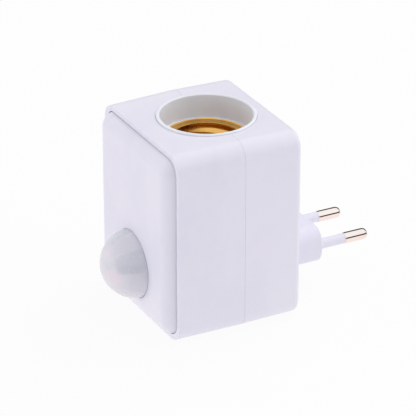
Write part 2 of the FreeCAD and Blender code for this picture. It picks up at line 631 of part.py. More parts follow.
def make_socket_sleeve():
    """The insulating tube of the socket, with its rim, its ledge, its collar, its keys and its floor.

    The foot of the mouth slopes in, so the flange of the screw shell centres itself on the ledge.
    """
    tube = turned("sleeve_tube", [
        ("rivet_radius", "sleeve_foot"), ("sleeve_radius", "sleeve_foot"),
        ("sleeve_radius", "collar_top - collar_height"), ("collar_radius", "collar_top - collar_height"),
        ("collar_radius", "collar_top"), ("sleeve_radius", "collar_top"), ("sleeve_radius", "rim_height"),
        ("well_radius", "rim_height"), ("well_radius", "ledge_height + sheet"),
        ("flange_radius + stem_gap", "ledge_height"), ("liner_radius", "ledge_height"),
        ("liner_radius", "floor_top"), ("rivet_radius", "floor_top")])
    break_edges(tube, "sleeve_rim", tube.Tip, lies_at(2, at("rim_height")), "rim_chamfer")
    plate = rod("sleeve_floor", "z", ("0", "0"), ("sleeve_foot", "floor_top"), "liner_radius")
    wide, high = ("-key_width / 2", "key_width / 2"), ("sleeve_foot", "sleeve_foot + key_height")
    keys = [box("key_left", ("-sleeve_radius - key_reach", "-liner_radius - 1"), wide, high),
            box("key_right", ("liner_radius + 1", "sleeve_radius + key_reach"), wide, high)]
    through = ("sleeve_foot - 1", "floor_top + 1")
    holes = [rod("stem_hole", "z", ("0", "0"), through, "stem_radius + stem_gap")]
    for hand, x in (("left", "-rivet_place"), ("right", "rivet_place")):
        holes.append(rod(f"rivet_hole_{hand}", "z", (x, "0"), through, "rivet_radius"))
    holes.append(box("strip_slot", ("-strip_width / 2 - stem_gap", "strip_width / 2 + stem_gap"),
                     ("strip_end - strip - stem_gap", "strip_end + stem_gap"), through))
    return cut("socket_sleeve", fuse("sleeve_body", [tube, plate] + keys), holes)


def make_screw_shell():
    """The brass shell: thin sheet with a rolled round thread, a turned-out top and a turned-in foot."""
    shell = turned("screw_shell_blank", [
        ("foot_radius", "floor_top"), ("crest_radius + sheet", "floor_top"),
        ("crest_radius + sheet", "ledge_height - shell_flare"),
        ("crest_radius + sheet + shell_flare", "ledge_height"),
        ("flange_radius", "ledge_height"), ("flange_radius", "ledge_height + sheet"),
        ("crest_radius + shell_flare", "ledge_height + sheet"),
        ("crest_radius", "ledge_height + sheet - shell_flare"),
        ("crest_radius", "foot_top"), ("foot_radius", "foot_top")])
    start, rise = "floor_top + thread_start", "thread_pitch * thread_turns"
    half, thin = "thread_pitch * 0.42", "thread_pitch * 0.42 - sheet / 2"
    outer, inner = "crest_radius + sheet / 2", "crest_radius - sheet / 2"
    wind(shell, "rolled_ridge", "Additive", [
        (outer, f"{start} - {half}"), ("crest_radius + sheet + thread_depth", start),
        (outer, f"{start} + {half}")],
        "thread_pitch", rise)
    wind(shell, "rolled_groove", "Subtractive", [
        (inner, f"{start} - ({thin})"), ("crest_radius + thread_depth", start),
        (inner, f"{start} + {thin}")],
        "thread_pitch", rise)
    holes = [rod(f"foot_hole_{hand}", "z", (x, "0"), ("floor_top - 1", "foot_top + 1"), "rivet_radius")
             for hand, x in (("left", "-rivet_place"), ("right", "rivet_place"))]
    return cut("screw_shell", shell, holes)


def make_rivets():
    """The two rivets that hold the screw shell to the socket floor."""
    each = []
    seats = (("left", "-rivet_place", "sleeve_foot - strip"), ("right", "rivet_place", "sleeve_foot"))
    for hand, x, low in seats:
        shank = rod(f"rivet_shank_{hand}", "z", (x, "0"), (low, "foot_top"), "rivet_radius")
        head = rod(f"rivet_head_{hand}", "z", (x, "0"), ("foot_top", "foot_top + rivet_head_height"),
                   "rivet_head_radius")
        tail = rod(f"rivet_tail_{hand}", "z", (x, "0"), (f"{low} - rivet_head_height", low),
                   "rivet_head_radius")
        each.append(fuse(f"rivet_{hand}", [shank, head, tail]))
    return group("socket_rivets", each)


def make_terminals():
    """The strip that carries the contact spring, and the tab under the screw shell."""
    wide = ("-strip_width / 2", "strip_width / 2")
    lying = box("contact_strip", wide, ("-strip_width / 2", "strip_end"), ("floor_top", "floor_top + strip"))
    hanging = box("contact_tail", wide, ("strip_end - strip", "strip_end"), ("tail_end", "floor_top"))
    hole = rod("strip_hole", "z", ("0", "0"), ("floor_top - 1", "floor_top + strip + 1"),
               "stem_radius + stem_gap")
    contact = cut("contact_terminal", fuse("contact_terminal_body", [lying, hanging]), [hole])
    tab_wide = ("-rivet_place - tab_width / 2", "-rivet_place + tab_width / 2")
    tab = box("shell_tab", tab_wide, ("-tab_width / 2", "tab_width / 2"),
              ("sleeve_foot - strip", "sleeve_foot"))
    tail = box("shell_tail", tab_wide, ("-tab_width / 2", "-tab_width / 2 + strip"),
               ("tail_end", "sleeve_foot - strip"))
    rivet_hole = rod("tab_hole", "z", ("-rivet_place", "0"), ("sleeve_foot - strip - 1", "sleeve_foot + 1"),
                     "rivet_radius")
    return [contact, cut("shell_terminal", fuse("shell_terminal_body", [tab, tail]), [rivet_hole])]


def make_contact():
    """The turned contact that the lamp pushes down, and its spring."""
    contact = turned("centre_contact", [
        ("0", "stem_end"), ("button_radius", "stem_end"), ("button_radius", "sleeve_foot"),
        ("stem_radius", "sleeve_foot"), ("stem_radius", "head_seat"), ("head_radius", "head_seat"),
        ("head_radius", "head_seat + head_height"), ("0", "head_seat + head_height")])
    top = at("head_seat") + at("head_height")
    round_edges(contact, "contact_dome", contact.Tip, lies_at(2, top), "head_height * 0.7")
    spring = doc.addObject("PartDesign::Body", "contact_spring")
    half = "spring_wire / 2"
    low = "spring_seat + spring_wire / 2 + stem_gap"
    rise = "(spring_length - spring_wire - 2 * stem_gap)"
    wind(spring, "spring_wire_turns", "Additive", [
        (f"spring_radius - {half}", low), ("spring_radius", f"{low} - {half}"),
        (f"spring_radius + {half}", low), ("spring_radius", f"{low} + {half}")],
        f"{rise} / spring_turns", rise)
    return [contact, spring]


def make_plug():
    """The moulded plug with its inner flange, its two pins and their sleeves."""
    section = ("plug_width / 2", "plug_axis - plug_height / 2", "plug_axis + plug_height / 2")
    body = block("plug_body", ("rear_inside", *section), ("plug_face", *section), "plug_corner",
                 far_edge="plug_edge_chamfer", finish=break_edges)
    plate = ("plug_flange_width / 2", "plug_axis - plug_flange_height / 2",
             "plug_axis + plug_flange_height / 2")
    flange = block("plug_flange_plate", ("plug_inner", *plate), ("rear_inside", *plate), "stake_head_radius")
    holes = []
    for hand, x in (("left", "-plug_stake_x"), ("right", "plug_stake_x")):
        for level, z in (("low", "plug_axis - plug_stake_z"), ("high", "plug_axis + plug_stake_z")):
            holes.append(rod(f"flange_hole_{hand}_{level}", "y", (x, z),
                             ("plug_inner - 1", "rear_inside + 1"), "stake_radius + stem_gap"))
    pieces = []
    for hand, x in (("left", "-pin_x"), ("right", "pin_x")):
        holes.append(rod(f"pin_way_{hand}", "y", (x, "plug_axis"), ("plug_inner - 1", "plug_face + 1"),
                         "pin_core"))
        pin = turned(f"pin_{hand}", [
            ("0", "plug_inner - pin_tail"), ("pin_core", "plug_inner - pin_tail"),
            ("pin_core", "plug_face + pin_sleeve"), ("pin_radius", "plug_face + pin_sleeve"),
            ("pin_radius", "plug_face + pin_sleeve + pin_length"),
            ("0", "plug_face + pin_sleeve + pin_length")])
        end = at("plug_face") + at("pin_sleeve") + at("pin_length")
        round_edges(pin, f"pin_tip_{hand}", pin.Tip, lies_at(2, end), "pin_tip")
        pieces.append(place(pin, x, "0", "plug_axis", ALONG["y"]))
        sleeve = turned(f"pin_sleeve_{hand}", [
            ("pin_core", "plug_face"), ("pin_sleeve_radius + pin_sleeve_flare", "plug_face"),
            ("pin_sleeve_radius", "plug_face + pin_sleeve_flare"),
            ("pin_sleeve_radius", "plug_face + pin_sleeve"), ("pin_core", "plug_face + pin_sleeve")])
        pieces.append(place(sleeve, x, "0", "plug_axis", ALONG["y"]))
    return [cut("plug_insert", fuse("plug_moulding", [body, flange]), holes)] + pieces


def faceted_dome(name, radius, foot):
    """A dome of flat facets whose corners lie on a sphere, from its foot to the middle facet."""
    corner_up = Rotation(Vector(1, 0, 0), 90) * Rotation(Vector(0, 0, 1), 90)
    levels = [(foot, f"sqrt(({radius}) ^ 2 - (lens_centre - ({foot})) ^ 2)")]
    for angle in ("facet_low", "facet_mid", "facet_top"):
        levels.append((f"lens_centre - ({radius}) * cos({angle})", f"({radius}) * sin({angle})"))
    rings = []
    for k, (y, reach) in enumerate(levels):
        ring = doc.addObject("Part::RegularPolygon", f"{name}_ring_{k}")
        tie(ring, Polygon="facet_count", Circumradius=reach)
        rings.append(place(ring, "0", y, "lens_height", corner_up))
    dome = doc.addObject("Part::Loft", name)
    dome.Sections = rings
    dome.Solid = True
    dome.Ruled = True
    return dome


def make_lens():
    """The milky lens: faceted dome, round collar through the cover, and flange behind it."""
    centre = ("0", "lens_height")
    foot = "front_face - lens_collar"
    dome = faceted_dome("lens_dome", "lens_radius", foot)
    space = faceted_dome("lens_space", "lens_radius - lens_wall", foot)
    tube = rod("lens_tube_round", "y", centre, (foot, "cover_inside"), "lens_tube")
    flange = rod("lens_flange_round", "y", centre, ("cover_inside", "lens_back"), "lens_flange_radius")
    bore = rod("lens_bore", "y", centre, (foot, "lens_back + 1"),
               "(lens_radius - lens_wall) * cos(180 / facet_count)")
    return cut("sensor_lens", fuse("lens_body", [dome, tube, flange]), [space, bore])


def make_retainer():
    """The ring behind the lens flange, with an ear at each stake."""
    ring = rod("retainer_ring", "y", ("0", "lens_height"), ("lens_back", "retainer_back"), "retainer_radius")
    ears = [rod(f"ear_{name}", "y", (x, z), ("lens_back", "retainer_back"), "ear_radius")
            for name, x, z in ear_places()]
    through = ("lens_back - 1", "retainer_back + 1")
    bores = [rod(f"ear_hole_{name}", "y", (x, z), through, "stake_radius + stem_gap")
             for name, x, z in ear_places()]
    bore = rod("retainer_hole", "y", ("0", "lens_height"), through, "retainer_bore")
    return cut("lens_retainer", fuse("retainer_body", [ring] + ears), bores + [bore])


def solder_pins():
    """Each component's solder pins: its label, which side of the board it is on, and each pin's place."""
    return [
        ("pir_sensor", "front", [("-can_radius / 2", "lens_height"), ("can_radius / 2", "lens_height"),
                                 ("0", "lens_height + can_radius / 2")]),
        ("light_sensor", "front", [("cell_x - cell_radius / 2", "lens_height - cell_drop"),
                                   ("cell_x + cell_radius / 2", "lens_height - cell_drop")]),
        ("fuse_resistor", "front", [("bridge_x - fuse_length / 2 - fuse_reach", "parts_z"),
                                    ("bridge_x + fuse_length / 2 + fuse_reach", "parts_z")]),
        ("zener_diode", "front", [("bridge_x - diode_length / 2 - fuse_reach", "chip_z"),
                                  ("bridge_x + diode_length / 2 + fuse_reach", "chip_z")]),
        ("rectifier", "front", [(f"-bridge_x + ({a}) * bridge_length * 0.35",
                                 f"parts_z + ({b}) * bridge_width * 0.3")
                                for a in (-1, 1) for b in (-1, 1)]),
        ("relay", "back", [(f"relay_x + ({a}) * relay_width * 0.35", f"tall_low + tall_height * {b}")
                           for a, b in ((-1, 0.12), (1, 0.12), (-1, 0.3), (-1, 0.88))]),
        ("dropper_capacitor", "back", [("dropper_x + dropper_width * 0.3",
                                        f"tall_low + tall_height * {a}") for a in (0.1, 0.95)]),
        ("smoothing_capacitor", "back", [("smoother_x - smoother_radius / 2", "smoother_z"),
                                         ("smoother_x + smoother_radius / 2", "smoother_z")]),
    ]


def pins_of(label):
    """The solder pins of one component, through the board and a little beyond it."""
    for name, side, spots in solder_pins():
        if name == label:
            near = "board_front" if side == "front" else "board_front - pin_out"
            return [rod(f"{label}_pin_{k}", "y", spot, (near, "board_back"), "pin_wire")
                    for k, spot in enumerate(spots)]
    return []


def make_board():
    """The upright board with its screw holes and pin holes."""
    plate = box("board_plate", ("-board_width / 2", "board_width / 2"), ("board_front", "board_back"),
                ("board_low", "board_top"))
    span = ("board_front - 1", "board_back + 1")
    holes = [rod(f"board_hole_{name}", "y", (x, z), span, "board_screw_radius + fit_gap")
             for name, x, z in board_places()]
    for label, _, spots in solder_pins():
        holes += [rod(f"{label}_hole_{k}", "y", spot, span, "pin_wire + fit_gap")
                  for k, spot in enumerate(spots)]
    return cut("control_board", plate, holes)


def make_sensors():
    """The motion sensor's can on its spacer with its window, and the light sensor beside it."""
    centre = ("0", "lens_height")
    spacer_disc = rod("spacer_disc", "y", centre, ("can_foot", "board_front"), "spacer_radius")
    ways = [rod(f"spacer_way_{k}", "y", spot, ("can_foot - 1", "board_front + 1"), "pin_wire + fit_gap")
            for k, spot in enumerate(solder_pins()[0][2])]
    spacer = cut("sensor_spacer", spacer_disc, ways)
    base = rod("can_base_disc", "y", centre, ("can_foot - can_base", "can_foot"), "can_base_radius")
    can = rod("can_round", "y", centre, ("can_face", "can_foot - can_base"), "can_radius")
    legs = [rod(f"can_leg_{k}", "y", spot, ("can_foot", "board_back"), "pin_wire")
            for k, spot in enumerate(solder_pins()[0][2])]
    half_x, half_z = "window_width / 2", "window_height / 2"
    pocket = box("window_pocket", (f"-{half_x}", half_x), ("can_face - 1", "can_face + window_depth"),
                 (f"lens_height - {half_z}", f"lens_height + {half_z}"))
    sensor = cut("pir_sensor", fuse("can_body", [base, can] + legs), [pocket])
    window = box("pir_window", (f"-{half_x}", half_x), ("can_face", "can_face + window_depth"),
                 (f"lens_height - {half_z}", f"lens_height + {half_z}"))
    cell = rod("cell_disc", "y", ("cell_x", "lens_height - cell_drop"),
               ("board_front - cell_height", "board_front"), "cell_radius")
    return [spacer, sensor, window, fuse("light_sensor", [cell] + pins_of("light_sensor"))]


def make_chip():
    """The controller chip with two rows of bent legs."""
    body = box("chip_body", ("-chip_length / 2", "chip_length / 2"),
               ("board_front - chip_height", "board_front - chip_height * 0.1"),
               ("chip_z - chip_width / 2", "chip_z + chip_width / 2"))
    legs = []
    for k in range(round(at("chip_legs"))):
        middle = f"({k} - (chip_legs - 1) / 2) * chip_leg_pitch"
        legs.append(box(f"chip_leg_{k}",
                        (f"{middle} - chip_leg_pitch / 5", f"{middle} + chip_leg_pitch / 5"),
                        ("board_front - chip_height * 0.2", "board_front"),
                        ("chip_z - chip_width / 2 - chip_leg_reach",
                         "chip_z + chip_width / 2 + chip_leg_reach")))
    return fuse("controller_chip", [body] + legs)


def axial(label, z, radius, length):
    """A small round component that lies on the board between two bent wires."""
    height = f"board_front - ({radius}) - pin_wire"
    left, right = f"bridge_x - {length} / 2", f"bridge_x + {length} / 2"
    barrel = rod(f"{label}_barrel", "x", (height, z), (left, right), radius)
    wire = rod(f"{label}_wire", "x", (height, z), (f"{left} - fuse_reach", f"{right} + fuse_reach"),
               "pin_wire")
    drops = [rod(f"{label}_drop_{k}", "y", spot, (height, "board_front"), "pin_wire")
             for name, _, spots in solder_pins() if name == label for k, spot in enumerate(spots)]
    return fuse(label, [barrel, wire] + drops + pins_of(label))


def make_components():
    """What stands on the board: power parts behind it and low parts in front of it."""
    relay = box("relay_case", ("relay_x - relay_width / 2", "relay_x + relay_width / 2"),
                ("board_back", "board_back + relay_depth"), ("tall_low", "tall_low + tall_height"))
    dropper = box("dropper_case", ("dropper_x - dropper_width / 2", "dropper_x + dropper_width / 2"),
                  ("board_back", "board_back + dropper_depth"), ("tall_low", "tall_low + tall_height"))
    smoother = rod("smoother_can", "y", ("smoother_x", "smoother_z"),
                   ("board_back", "board_back + smoother_length"), "smoother_radius")
    bridge = box("bridge_case", ("-bridge_x - bridge_length / 2", "-bridge_x + bridge_length / 2"),
                 ("board_front - bridge_height", "board_front"),
                 ("parts_z - bridge_width / 2", "parts_z + bridge_width / 2"))
    return [fuse("relay", [relay] + pins_of("relay")),
            fuse("dropper_capacitor", [dropper] + pins_of("dropper_capacitor")),
            fuse("smoothing_capacitor", [smoother] + pins_of("smoothing_capacitor")),
            fuse("rectifier", [bridge] + pins_of("rectifier")),
            axial("fuse_resistor", "parts_z", "fuse_radius", "fuse_length"),
            axial("zener_diode", "chip_z", "diode_radius", "diode_length"),
            make_chip()]


def lead(label, route):
    """An insulated wire: straight runs joined by arcs as large as the runs allow."""
    corners = [Vector(*spot) for spot in route]
    edges, start = [], corners[0]
    for before, here, after in zip(corners, corners[1:], corners[2:]):
        inward, onward = (here - before), (after - here)
        shorter = min(inward.Length, onward.Length)
        inward.normalize()
        onward.normalize()
        turn = inward.getAngle(onward)
        radius = 0.45 * shorter / math.tan(turn / 2)
        print(label, "bend radius", round(radius, 1))
        enter, leave = here - inward * 0.45 * shorter, here + onward * 0.45 * shorter
        inner = (onward - inward).normalize()
        middle = here + inner * (radius / math.cos(turn / 2) - radius)
        edges += [Part.LineSegment(start, enter).toShape(), Part.Arc(enter, middle, leave).toShape()]
        start = leave
    edges.append(Part.LineSegment(start, corners[-1]).toShape())
    path = Part.Wire(edges)
    section = Part.Wire(Part.makeCircle(at("lead_radius"), corners[0], corners[1] - corners[0]))
    tube = doc.addObject("Part::Feature", label)
    tube.Shape = path.makePipeShell([section], True, False)
    tube.Placement = Placement()
    return tube


def make_leads():
    """The four leads inside the body, from the pins and the terminals to the board."""
    back, tail_y = at("board_back"), at("plug_inner") - at("pin_tail")
    pin_x, pin_z = at("pin_x"), at("plug_axis")
    side, joint = at("lead_joint_x"), at("lead_joint_z")
    over = at("tall_low") + at("tall_height") + at("lead_radius") + at("part_gap") / 2
    tab_x, tab_y = -at("rivet_place"), -at("tab_width") / 2
    strip_x, strip_y = at("strip_width") / 3, at("strip_end") - at("strip")
    low = at("tail_end") + 1.3 * at("lead_radius")
    run, step = at("lead_run"), at("lead_step")
    feeds = [lead(name, [(way * pin_x, tail_y, pin_z), (way * pin_x, tail_y - run, pin_z),
                         (way * (pin_x + step), tail_y - 2.25 * run, pin_z + step),
                         (way * side, back + 1.6 * run, joint), (way * side, back, joint)])
             for name, way in (("neutral_lead", -1), ("live_lead", 1))]
    high = over + 0.08 * step
    aside = tab_x - 0.3 * step
    shell_lead = lead("shell_lead", [(tab_x, tab_y, over), (tab_x, tab_y - 0.7 * run, over),
                                     (aside, back + run, high), (aside, back, high)])
    switched = lead("switched_lead", [(strip_x, strip_y, low), (strip_x, strip_y - 0.9 * run, low),
                                      (1.3 * step, back + 1.5 * run, high), (1.3 * step, back, high)])
    return feeds + [shell_lead, switched]


def gather():
    """Builds every sub-part, in the order of assembly."""
    fill_sheet()
    pieces = [make_front_shell(), make_rear_shell(), make_front_cover(), make_socket_sleeve()]
    pieces += [make_screw_shell(), make_rivets(), *make_terminals(), *make_contact(), *make_plug()]
    pieces += [make_lens(), make_retainer()]
    pieces += [make_board(), *make_sensors(), *make_components(), *make_screws(), *make_leads()]
    doc.recompute()
    return pieces


def check(pieces):
    """Stops if an object failed or a sub-part has no sound shape."""
    failed = [item.Label for item in doc.Objects if "Invalid" in item.State or "Error" in item.State]
    failed += [piece.Label for piece in pieces if piece.Shape.isNull() or not piece.Shape.isValid()]
    if failed:
        raise RuntimeError(f"failed objects: {failed}")


def export(pieces):
    """Writes each sub-part to its own file."""
    os.makedirs("parts", exist_ok=True)
    for piece in pieces:
        piece.Shape.exportStep(f"parts/{piece.Label}.step")
        print(piece.Label, "solids", len(piece.Shape.Solids), "volume", round(piece.Shape.Volume, 1))


made = gather()
check(made)
export(made)
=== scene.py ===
"""Looks of the motion sensor lamp holder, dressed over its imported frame.

Lengths are in metres, in the frame of the part: X to the right as seen from the front, Y to the back, Z up.
"""
from __future__ import annotations

import logging
import math
from dataclasses import dataclass, field
from enum import Enum
from typing import Any

import bmesh
import bpy
import numpy as np
from mathutils import Matrix, Vector

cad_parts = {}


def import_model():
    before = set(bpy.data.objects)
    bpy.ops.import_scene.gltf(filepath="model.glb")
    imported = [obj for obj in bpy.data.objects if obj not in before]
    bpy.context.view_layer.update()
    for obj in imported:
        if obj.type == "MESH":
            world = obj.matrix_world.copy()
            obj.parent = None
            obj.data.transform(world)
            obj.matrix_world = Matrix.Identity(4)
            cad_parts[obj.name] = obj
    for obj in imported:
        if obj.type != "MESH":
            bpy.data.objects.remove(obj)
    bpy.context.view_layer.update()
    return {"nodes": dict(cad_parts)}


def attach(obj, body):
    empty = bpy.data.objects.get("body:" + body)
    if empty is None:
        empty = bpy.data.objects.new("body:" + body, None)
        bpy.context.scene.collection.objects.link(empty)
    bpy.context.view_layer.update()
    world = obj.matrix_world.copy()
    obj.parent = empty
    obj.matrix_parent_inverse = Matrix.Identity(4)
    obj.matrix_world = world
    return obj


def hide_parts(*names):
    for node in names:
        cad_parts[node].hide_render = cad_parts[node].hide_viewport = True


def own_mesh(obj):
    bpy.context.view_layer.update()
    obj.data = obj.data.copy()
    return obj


LOG = logging.getLogger("lamp_holder")
MM = 0.001
WHITE = (1.0, 1.0, 1.0)
FULL_TURN = 2.0 * math.pi
NOISE_MIDDLE = 0.5
TINY = 1e-9
LEAST_COSINE = 1e-6
MERGE_WITHIN = 1e-7
SHARP_FROM = math.radians(38.0)
Triple = tuple[float, float, float]
Color = Triple
Span = tuple[float, float]


def linear(red: float, green: float, blue: float) -> Color:
    """Turns a colour written in 0 to 255 screen values into linear light, by the usual screen curve.

    Args:
        red: Screen value of red.
        green: Screen value of green.
        blue: Screen value of blue.

    Returns:
        The three linear values.
    """
    shares = np.array([red, green, blue]) / 255.0
    bright = ((shares + 0.055) / 1.055) ** 2.4
    return tuple(float(v) for v in np.where(shares <= 0.04045, shares / 12.92, bright))


def ease(values: np.ndarray, low: float, high: float) -> np.ndarray:
    """Rises smoothly from 0 at low to 1 at high: 3t squared less 2t cubed, t the clipped share of the way.

    Args:
        values: Where to read the curve.
        low: Where it leaves 0.
        high: Where it reaches 1.

    Returns:
        The curve at each value.
    """
    share = np.clip((values - low) / (high - low), 0.0, 1.0)
    return share * share * (3.0 - 2.0 * share)


class Number:
    """A number in a node tree on which the usual operators work."""

    def __init__(self, graph: Graph, socket: bpy.types.NodeSocket) -> None:
        """Wraps one output socket of a graph."""
        self.graph = graph
        self.socket = socket

    def _math(self, operation: str, *others: Number | float) -> Number:
        """Adds one Math node for this number and the others."""
        inputs = dict(enumerate((self, *others)))
        return self.graph.number("ShaderNodeMath", {"operation": operation}, inputs)

    def _reflected(self, operation: str, other: float) -> Number:
        """Adds one Math node with the plain number first."""
        return self.graph.number("ShaderNodeMath", {"operation": operation}, {0: other, 1: self})

    def __add__(self, other: Number | float) -> Number:
        """Adds."""
        return self._math("ADD", other)

    __radd__ = __add__

    def __sub__(self, other: Number | float) -> Number:
        """Subtracts."""
        return self._math("SUBTRACT", other)

    def __rsub__(self, other: float) -> Number:
        """Subtracts this number from a plain one."""
        return self._reflected("SUBTRACT", other)

    def __mul__(self, other: Number | float) -> Number:
        """Multiplies."""
        return self._math("MULTIPLY", other)

    __rmul__ = __mul__

    def __pow__(self, other: float) -> Number:
        """Raises to a power."""
        return self._math("POWER", other)

    def largest(self, other: Number | float) -> Number:
        """The larger of two numbers."""
        return self._math("MAXIMUM", other)

    def size(self) -> Number:
        """The number without its sign."""
        return self._math("ABSOLUTE")

    def ramp(self, low: float, high: float) -> Number:
        """Rises smoothly from 0 at low to 1 at high."""
        inputs = {"Value": self, "From Min": low, "From Max": high}
        return self.graph.number("ShaderNodeMapRange", {"interpolation_type": "SMOOTHSTEP"}, inputs)


class Graph:
    """The node tree of one material or world."""

    def __init__(self, owner: bpy.types.Material | bpy.types.World) -> None:
        """Empties the owner's node tree.

        Args:
            owner: The material or world that the nodes belong to.
        """
        owner.use_nodes = True
        self.tree = owner.node_tree
        self.tree.nodes.clear()

    def node(self, kind: str, settings: dict[str, Any], inputs: dict[Any, Any]) -> bpy.types.Node:
        """Adds a node.

        Args:
            kind: The node's type.
            settings: Its properties, set first.
            inputs: Values or links for its sockets, by name or number.

        Returns:
            The node.
        """
        made = self.tree.nodes.new(kind)
        for name, value in settings.items():
            setattr(made, name, value)
        for key, value in inputs.items():
            if isinstance(value, Number):
                self.tree.links.new(value.socket, made.inputs[key])
            elif isinstance(value, bpy.types.NodeSocket):
                self.tree.links.new(value, made.inputs[key])
            else:
                made.inputs[key].default_value = value
        return made

    def number(self, kind: str, settings: dict[str, Any], inputs: dict[Any, Any],
               output: Any = 0) -> Number:
        """Adds a node and gives one of its outputs as a number."""
        return Number(self, self.node(kind, settings, inputs).outputs[output])

    def blend(self, share: Number | float, first: Any, second: Any) -> bpy.types.NodeSocket:
        """Mixes two colours. In colour mode the Mix node takes them in sockets 6 and 7 and gives socket 2.

        Args:
            share: How much of the second colour shows.
            first: A colour or a socket.
            second: A colour or a socket.

        Returns:
            The socket of the mixed colour.
        """
        ends = [(*end, 1.0) if isinstance(end, tuple) else end for end in (first, second)]
        settings = {"data_type": "RGBA", "clamp_factor": True}
        return self.node("ShaderNodeMix", settings, {0: share, 6: ends[0], 7: ends[1]}).outputs[2]

    def place(self) -> bpy.types.NodeSocket:
        """The point on the object, in its own coordinates."""
        return self.node("ShaderNodeTexCoord", {}, {}).outputs["Object"]

    def part(self, letter: str) -> Number:
        """One coordinate of the point on the object."""
        return self.number("ShaderNodeSeparateXYZ", {}, {0: self.place()}, letter)

    def noise(self, stretch: Triple, detail: float) -> Number:
        """Soft noise on the object.

        Args:
            stretch: Cells per metre along X, Y and Z.
            detail: How many finer layers it has.

        Returns:
            A number round 0.5.
        """
        spot = self.node("ShaderNodeMapping", {}, {"Vector": self.place(), "Scale": stretch}).outputs[0]
        inputs = {"Vector": spot, "Scale": 1.0, "Detail": detail}
        return self.number("ShaderNodeTexNoise", {"noise_dimensions": "3D"}, inputs)

    def bump(self, height: Number, depth: float, strength: float) -> bpy.types.NodeSocket:
        """A normal bent by a height from 0 to 1, depth metres deep."""
        inputs = {"Strength": strength, "Distance": depth, "Height": height}
        return self.node("ShaderNodeBump", {}, inputs).outputs["Normal"]


class Finish:
    """A material that is made once, when a piece first wears it.

    The finishes give noises by their cells in a metre. Edges are where a noise leaves 0 and reaches 1, and
    gloss after a noise's name is how far it moves the roughness.
    """

    name: str

    def wear(self) -> bpy.types.Material:
        """Gives the material and makes it at first use.

        Returns:
            The material of this finish.
        """
        found = bpy.data.materials.get(self.name)
        if found:
            return found
        material = bpy.data.materials.new(self.name)
        graph = Graph(material)
        surface = graph.node("ShaderNodeBsdfPrincipled", {}, self.sockets(graph))
        graph.node("ShaderNodeOutputMaterial", {}, {"Surface": surface.outputs[0]})
        return material

    def sockets(self, graph: Graph) -> dict[str, Any]:
        """The values and links of the surface shader.

        Args:
            graph: The material's nodes.

        Returns:
            Its socket values and links.
        """
        raise NotImplementedError


@dataclass(frozen=True)
class MouldedPlastic(Finish):
    """Injection-moulded plastic: a fine spark-eroded grain, faint flow in the tone and a satin gloss."""

    name: str
    color: Color
    shade: Color
    roughness: float = 0.42
    grain: float = 2600.0
    grain_depth: float = 0.012 * MM
    grain_strength: float = 0.6
    grain_gloss: float = 0.05
    drift: Triple = (55.0, 55.0, 30.0)
    smudge: float = 240.0
    smudge_tone: float = 0.3
    smudge_gloss: float = 0.16
    shade_edges: Span = (0.35, 0.75)
    gloss: float = 0.5

    def sockets(self, graph: Graph) -> dict[str, Any]:
        """Tone drifts with a wide noise, gloss with a finer one, and the grain bends the normal.

        Args:
            graph: The material's nodes.

        Returns:
            Its socket values and links.
        """
        drift = graph.noise(self.drift, detail=3.0)
        smudge = graph.noise((self.smudge,) * 3, detail=4.0)
        grain = graph.noise((self.grain,) * 3, detail=1.0)
        tone = drift + smudge * self.smudge_tone - NOISE_MIDDLE * self.smudge_tone
        uneven = (smudge - NOISE_MIDDLE) * self.smudge_gloss
        return {
            "Base Color": graph.blend(tone.ramp(*self.shade_edges), self.color, self.shade),
            "Roughness": self.roughness + uneven + (grain - NOISE_MIDDLE) * self.grain_gloss,
            "Specular IOR Level": self.gloss,
            "Normal": graph.bump(grain, self.grain_depth, self.grain_strength),
        }


@dataclass(frozen=True)
class MilkyLens(Finish):
    """Milky lens plastic, with painted shade per facet and painted patches of shade and warm light."""

    name: str
    # pale is the lens's own colour; deep is the colour of the painted shade and warm that of the painted
    # warm light.
    pale: Color
    deep: Color
    warm: Color
    tone: str
    cloud: float = 420.0
    cloud_tone: float = 0.25
    cloud_gloss: float = 0.12
    ripple: float = 1500.0
    ripple_depth: float = 0.01 * MM
    ripple_strength: float = 0.5
    roughness: float = 0.26
    gloss: float = 0.5
    coat: float = 0.25
    coat_roughness: float = 0.12

    def sockets(self, graph: Graph) -> dict[str, Any]:
        """The painted shade leads from pale to deep, and two broad painted warm tints of light lie over it.

        Args:
            graph: The material's nodes.

        Returns:
            Its socket values and links.
        """
        # Painted light: the first attribute holds painted shade, the second a painted warm tint.
        facet = graph.number("ShaderNodeAttribute", {"attribute_name": self.tone}, {}, "Fac")
        painted_warmth = graph.number("ShaderNodeAttribute", {"attribute_name": f"{self.tone}_warm"}, {}, "Fac")
        cloud = graph.noise((self.cloud,) * 3, detail=3.0)
        ripple = graph.noise((self.ripple,) * 3, detail=1.0)
        painted_shade_color = graph.blend(facet + (cloud - NOISE_MIDDLE) * self.cloud_tone, self.pale, self.deep)
        return {
            "Base Color": graph.blend(painted_warmth, painted_shade_color, self.warm),
            "Roughness": self.roughness + (cloud - NOISE_MIDDLE) * self.cloud_gloss,
            "Specular IOR Level": self.gloss,
            "Coat Weight": self.coat,
            "Coat Roughness": self.coat_roughness,
            "Normal": graph.bump(ripple, self.ripple_depth, self.ripple_strength),
        }


